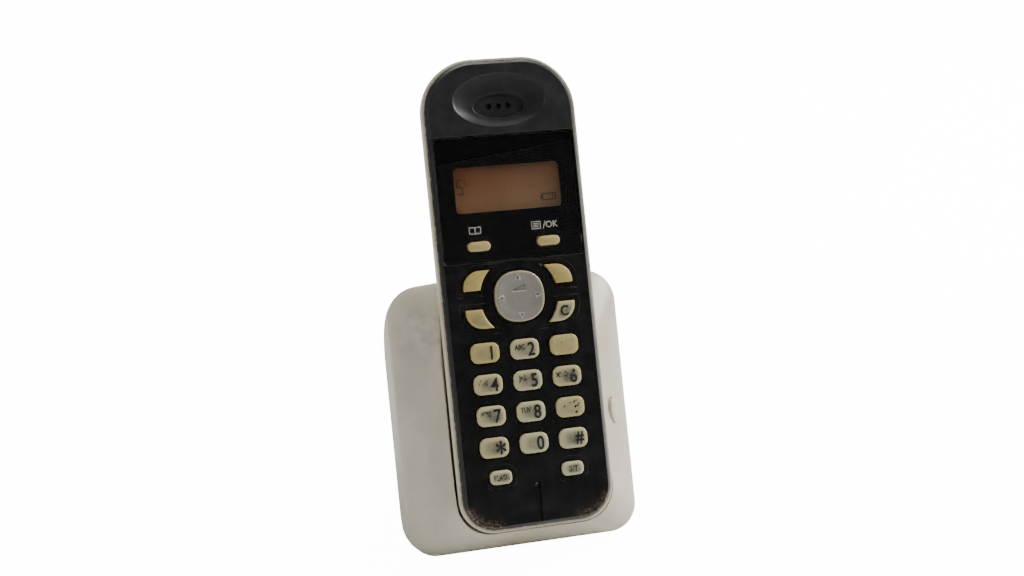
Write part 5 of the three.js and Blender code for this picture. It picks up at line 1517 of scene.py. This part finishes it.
def make_front_cover():
    """The front of the base: depth as a function of place, sampled along rays from its middle with the
    samples gathered at the rim of the pocket, closed behind by the seam's plane and the pocket's back."""
    outer = PILLOW_LEVELS[0]
    tries = outer * np.linspace(0.02, 1, 300)[:, None]
    inside = pocket_depth(tries) > pillow_depth(tries)
    rim = outer * np.maximum(inside.sum(0), 1) / 300
    floor = np.minimum(POCKET_LEVELS[-1], rim - 2.0)
    knots = [0.02 * floor]
    for start, end, count, power in (
        (0.02 * floor, 0.97 * floor, 5, 1.0),
        (0.97 * floor, rim - 1.1, 14, 1.0),
        (rim - 1.1, rim + 2.0, 18, 1.0),
        (rim + 2.0, outer, 24, 0.75),
    ):
        shares = np.linspace(0, 1, count + 1)[1:] ** power
        knots += [start + (end - start) * s for s in shares]
    reach = np.array(knots)
    left = (len(reach) - 1 - np.arange(len(reach)))[:, None]
    reach = np.minimum(reach, outer * (1 - 0.0012 * left))
    depth = front_depth(reach)
    cover_back = BASE_SPLIT_DEPTH - GAP / 2
    behind = np.maximum(cover_back, depth + POCKET_WALL)
    behind = np.where(depth < cover_back - POCKET_WALL, cover_back, behind)
    x, z = rays_at(reach)
    edge = ramp(reach / outer, 0.75, 1.0) * (z > BASE_MIDDLE[1])
    front = place(x, depth, z - top_drop(depth) * edge)
    back = place(x, behind, z - top_drop(behind) * edge)
    points = np.concatenate([front, back[::-1]])
    cover = new_piece("front_cover", points, ring_faces(len(points), RAYS), 40.0)
    outward(cover)
    cutters = [below_table("table", TABLE_GAP)]
    for side in (-1, 1):
        x = side * CONTACT_X
        cutters.append(block("spring_slot", x - SLOT_HALF_WIDTH, x + SLOT_HALF_WIDTH, 8.8, 15.2, -2.7, 6.3))
    cutters.append(page_slab("page_hole", KEY_CLEARANCE, -6.0, 3.6))
    carve(cover, cutters, angle=40.0)
    even_faces(cover)
    return settle(cover, "base", "base_grey", BASE_SHELL, "base_front_cover")


page_axis = np.array(joints["page_button_press"]["axis"], float)
PAGE_TURN = math.atan2(-page_axis[0], page_axis @ INWARD)
PAGE_PLACE = (BASE_HALF_WIDTH - 7.5, 12.044, 31.0)
PAGE_HALF = (2.6, 3.9)
PAGE_EDGE = 0.45
PAGE_FLANGE = 0.7


def page_ring(grow, inwards):
    """An ellipse square to the button's own axis, at a distance along it."""
    outline = ellipse(0, 0, PAGE_HALF[0] + grow, PAGE_HALF[1] + grow)
    c, s = math.cos(PAGE_TURN), math.sin(PAGE_TURN)
    x, depth = outline[:, 0] * c - inwards * s, outline[:, 0] * s + inwards * c
    return place(PAGE_PLACE[0] + x, PAGE_PLACE[1] + depth, PAGE_PLACE[2] + outline[:, 1])


def page_slab(name, grow, front, back):
    """The button's outline, grown evenly, carried along its own axis."""
    points = np.stack([page_ring(grow, front), page_ring(grow, back)])
    return new_piece(name, points, ring_faces(2, points.shape[1]))


def make_page_button():
    """Low dome with a rolled edge, on the button's own axis: a quarter-circle shoulder round a square-law
    crown."""
    rings = [page_ring(-PAGE_EDGE - 2.0 * (1 - s), 0.25 * s * s - 0.9) for s in np.linspace(0.0, 1.0, 7)]
    for turn in EDGE_TURNS:
        rings.append(page_ring(-PAGE_EDGE * (1 - math.sin(turn)), PAGE_EDGE * (1 - math.cos(turn)) - 0.65))
    rings += [page_ring(0, 2.6), page_ring(PAGE_FLANGE, 2.6), page_ring(PAGE_FLANGE, 3.3)]
    points = np.stack(rings)
    button = new_piece("page_button_cap", points, ring_faces(len(points), points.shape[1]))
    return settle(button, "page_button", "page_grey", PAGE_SHELL, "page_button")


def below_table(name, top):
    """Everything under a height above the table, to cut away."""
    return table_block(name, -60, 60, -90, 90, -60, top)


BEHIND_POCKET = 2.3  # from the handset to the body behind the pocket
BACK_EDGE = 1.2  # radius of the edge at the very back
FOOT_HOLE, SCREW_HOLE = (4.3, 2.45), (2.4, 3.35)  # radius, and height of its end above the table


def rear_outline(depth, shrink):
    """The base's outline behind its seam: narrower, lower and rounder towards the back."""
    share = max(depth + shrink - BASE_SPLIT_DEPTH, 0.0) / (BASE_REACH - BASE_SPLIT_DEPTH)
    return rounded_outline(
        BASE_HALF_WIDTH - shrink - BASE_BACK_NARROWING * share**1.8,
        BASE_BOTTOM + shrink - share * 4,
        BASE_TOP - shrink - BASE_BACK_DROP * share**1.75,
        BASE_BOTTOM_RADIUS, BASE_TOP_RADIUS + 4 * share, crown=BASE_CROWN, corner=14, side=10, across=12,
    )


def make_base_rear():
    """The body behind the seam, hollow, with the pocket's back, feet, screws and sockets let into it."""
    start = BASE_SPLIT_DEPTH + GAP / 2
    seam = [(rear_outline(start, 0.3), start), (rear_outline(start, 0.09), start + 0.09),
            (rear_outline(start, 0.0), start + 0.3)]
    depths = start + 0.3 + (BASE_REACH - BACK_EDGE - start - 0.3) * np.linspace(0, 1, 40)[1:]
    rings = seam + [(rear_outline(d, 0.0), float(d)) for d in depths]
    outline = rear_outline(BASE_REACH - BACK_EDGE, 0.0)
    middle = outline.mean(0)
    for turn in np.radians((30.0, 60.0, 90.0)):
        depth = BASE_REACH - BACK_EDGE + BACK_EDGE * math.sin(turn)
        rings.append((middle + (outline - middle) * (1 - 0.055 * (1 - math.cos(turn))), depth))
    shell = loft("base_rear", rings)
    inner_depths = np.linspace(start - 3, BASE_REACH - BASE_WALL, 36)
    hollow = loft("base_hollow", [(rear_outline(float(d), BASE_WALL), float(d)) for d in inner_depths])
    carve(hollow, [below_table("floor", TABLE_GAP + BASE_WALL)])
    pocket = [
        (pocket_outline(d, BEHIND_POCKET, **BODY_COUNTS), float(d))
        for d in np.linspace(RIM_DEPTH, HANDSET_DEPTH + BEHIND_POCKET, 24)
    ]
    carve(shell, [hollow, below_table("table", TABLE_GAP)])
    cutters = [loft("pocket", pocket)]
    for node in ("foot_front_left", "foot_front_right", "foot_rear_left", "foot_rear_right"):
        cutters.append(upright_hole(node, *FOOT_HOLE))
    for node in ("base_screw_left", "base_screw_right"):
        cutters.append(upright_hole(node, *SCREW_HOLE))
    for node in ("line_socket", "power_inlet"):
        low, high = (np.array(corner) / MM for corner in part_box(node))
        cutters.append(table_block("socket_hole", low[0] - GAP, high[0] + GAP, high[1] - 8, high[1] + 12,
                                   low[2] - GAP, high[2] + GAP))
    carve(shell, cutters)
    even_faces(shell)
    return settle(shell, "base", "base_grey", BASE_SHELL, "base_rear_case")


def upright_hole(node, radius, top):
    """A round hole up from the table over a CAD node."""
    low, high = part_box(node)
    at = np.array([(low[0] + high[0]) / 2, (low[1] + high[1]) / 2, 0.0])
    return lathe("hole", [(radius, -3.0), (radius, top)], at, (0.0, 0.0, 1.0))


def make_feet():
    """Rubber feet: a disc with a rounded tread and a dimple, turned about the upright."""
    for end in ("front", "rear"):
        for side in ("left", "right"):
            node = f"foot_{end}_{side}"
            low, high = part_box(node)
            at = np.array([(low[0] + high[0]) / 2, (low[1] + high[1]) / 2, low[2]])
            tall = (high[2] - low[2]) / MM
            a = np.linspace(0, np.pi / 2, 6)
            profile = np.concatenate([
                [(0.4, 0.35), (1.6, 0.35), (2.1, 0.0)],
                np.stack([3.4 + 0.6 * np.sin(a), 0.6 * (1 - np.cos(a))], -1),
                [(4.0, tall), (0.4, tall)],
            ])
            foot = lathe(f"{node}_pad", profile, at, (0.0, 0.0, 1.0), 40)
            outward(foot)
            settle(foot, "base", "foot_rubber", FOOT, node)


WIRE_PITCH, WIRE_HALF_WIDTH = 1.02, 0.16


def make_socket_wires():
    """Four gold wires that slope through the opening of the line socket: square rods along a bent line."""
    low, high = (np.array(corner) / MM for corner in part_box("line_socket"))
    middle, sill, face = (low[0] + high[0]) / 2, low[2] + 2.2, high[1]
    section = np.array([(1, 0, -1), (1, 0, 1), (-1, 0, 1), (-1, 0, -1)]) * WIRE_HALF_WIDTH
    rods = []
    for i in range(4):
        x = middle + (i - 1.5) * WIRE_PITCH
        line = [(x, face - 1.4, sill + 0.5), (x, face - 3.0, sill + 1.0), (x, face - 10.5, sill + 4.2)]
        rings = np.array(line)[:, None] + section
        rods.append(new_piece("wire", rings * MM, ring_faces(3, 4)))
    wires = merged("line_socket_wires", rods)
    return settle(wires, "base", "brass_strip", BRASS)


# ================================================================== the rest of the frame

CARRIED = {
    "lens_mask": MASK_BLACK,
    "lcd_glass": LCD,
    "lcd_frame": LCD_WHITE,
    "earpiece_receiver": DARK,
    "microphone": STEEL,
    "keypad_mat": MAT,
    "nav_key_support": MAT,
    "handset_board": BOARD,
    "base_board": BOARD,
    "antenna": BRASS,
    "ringer": DARK,
    "battery_cell_left": CELL,
    "battery_cell_right": CELL,
    "battery_link": STEEL,
    "battery_terminal_left": STEEL,
    "battery_terminal_right": STEEL,
    "charge_contact_left": STEEL,
    "charge_contact_right": STEEL,
    "charge_spring_left": BRASS,
    "charge_spring_right": BRASS,
    "line_socket": DARK,
    "power_inlet": DARK,
    "page_switch": DARK,
}


def finish_carried_nodes():
    """Every CAD node has a finish, whether or not a new piece stands for it."""
    for name, node in frame["nodes"].items():
        node.data.materials.clear()
        node.data.materials.append(CARRIED.get(name, DARK))


# ================================================================== camera, floor and light

VIEW_FROM = (-107.94, -427.86, 72.53)
VIEW_RIGHT = (0.96585, -0.23911, -0.09984)
VIEW_UP = (0.09683, -0.02432, 0.99500)
LENS_LENGTH = 50.98
PHONE_MIDDLE = Vector((0.0, 0.0, 0.07))
ROOM_LIGHT = 0.08
FLOOR_GLOW = 14.0
FLOOR_REACH, FLOOR_FLAT, FLOOR_SIDES = 4.0, 1.5, 64  # metres, metres and a count


def leaning_direction(v):
    """A world direction from one across, inward and up."""
    return Vector(v[0] * np.array([1.0, 0, 0]) + v[1] * INWARD + v[2] * UP).normalized()


def set_camera():
    """A camera in front and a little to the left, level with the navigation key."""
    data = bpy.data.cameras.new("camera")
    data.lens = LENS_LENGTH
    data.sensor_width = 36.0
    data.clip_start = 0.01
    camera = bpy.data.objects.new("camera", data)
    bpy.context.scene.collection.objects.link(camera)
    right, up = leaning_direction(VIEW_RIGHT), leaning_direction(VIEW_UP)
    back = right.cross(up).normalized()
    turn = Matrix((right, back.cross(right), back)).transposed().to_4x4()
    camera.matrix_world = Matrix.Translation(Vector(place(*map(np.array, VIEW_FROM)))) @ turn
    bpy.context.scene.camera = camera


def area_light(name, at, size, power, color=(1.0, 1.0, 1.0)):
    """A square light turned to the middle of the phone."""
    data = bpy.data.lights.new(name, "AREA")
    data.size = size
    data.energy = power
    data.color = color
    light = bpy.data.objects.new(name, data)
    light.location = at
    light.rotation_euler = (PHONE_MIDDLE - Vector(at)).to_track_quat("-Z", "Y").to_euler()
    bpy.context.scene.collection.objects.link(light)


def set_studio():
    """A dim even room, a large window high on the right, a softer one over the left, and one behind."""
    world = bpy.data.worlds.new("studio")
    world.use_nodes = True
    background = world.node_tree.nodes["Background"]
    background.inputs["Color"].default_value = (1, 1, 1, 1)
    background.inputs["Strength"].default_value = ROOM_LIGHT
    bpy.context.scene.world = world
    area_light("window_right", (1.3, 0.05, 0.9), 0.6, 44, (1.0, 0.985, 0.96))
    area_light("window_left", (-1.0, -0.35, 0.9), 0.6, 5.4)
    area_light("top_back", (0.1, 0.6, 1.1), 0.9, 14)


def make_floor():
    """A disc of paper that curves up at its rim with the square of the way out, and glows only to the eye."""
    rings = np.linspace(0.02, FLOOR_REACH, 30)
    a = np.linspace(0, 2 * np.pi, FLOOR_SIDES, endpoint=False)
    height = np.where(rings > FLOOR_FLAT, 0.35 * (rings - FLOOR_FLAT) ** 2, 0.0)
    points = np.stack([
        rings[:, None] * np.cos(a), rings[:, None] * np.sin(a), height[:, None] + 0 * a,
    ], -1)
    faces = ring_faces(len(rings), FLOOR_SIDES, closed_ends=False) + [list(range(FLOOR_SIDES))]
    floor = new_piece("floor", points, faces)
    if floor.data.polygons[0].normal.z < 0:
        floor.data.flip_normals()
    paper = bpy.data.materials.new("floor_white")
    paper.use_nodes = True
    nodes, links = paper.node_tree.nodes, paper.node_tree.links
    shader = nodes["Principled BSDF"]
    shader.inputs["Base Color"].default_value = grey(0.85)
    shader.inputs["Roughness"].default_value = 0.9
    shader.inputs["Emission Color"].default_value = grey(1.0)
    seen = nodes.new("ShaderNodeLightPath")
    glow = nodes.new("ShaderNodeMath")
    glow.operation = "MULTIPLY"
    glow.inputs[1].default_value = FLOOR_GLOW
    links.new(seen.outputs["Is Camera Ray"], glow.inputs[0])
    links.new(glow.outputs[0], shader.inputs["Emission Strength"])
    floor.data.materials.append(paper)


set_camera()
set_studio()
make_floor()
finish_carried_nodes()
make_front_case()
make_lens()
make_rear_case()
make_battery_cover()
for key_name, ((key_middle, key_outline), key_tan, key_worn, _) in KEY_LIST.items():
    make_key(key_name, key_middle, key_outline, key_tan, key_worn)
make_nav_key()
make_legends()
make_nav_marks()
make_panel_icons()
make_lcd_marks()
make_screws()
make_front_cover()
make_base_rear()
make_page_button()
make_feet()
make_socket_wires()
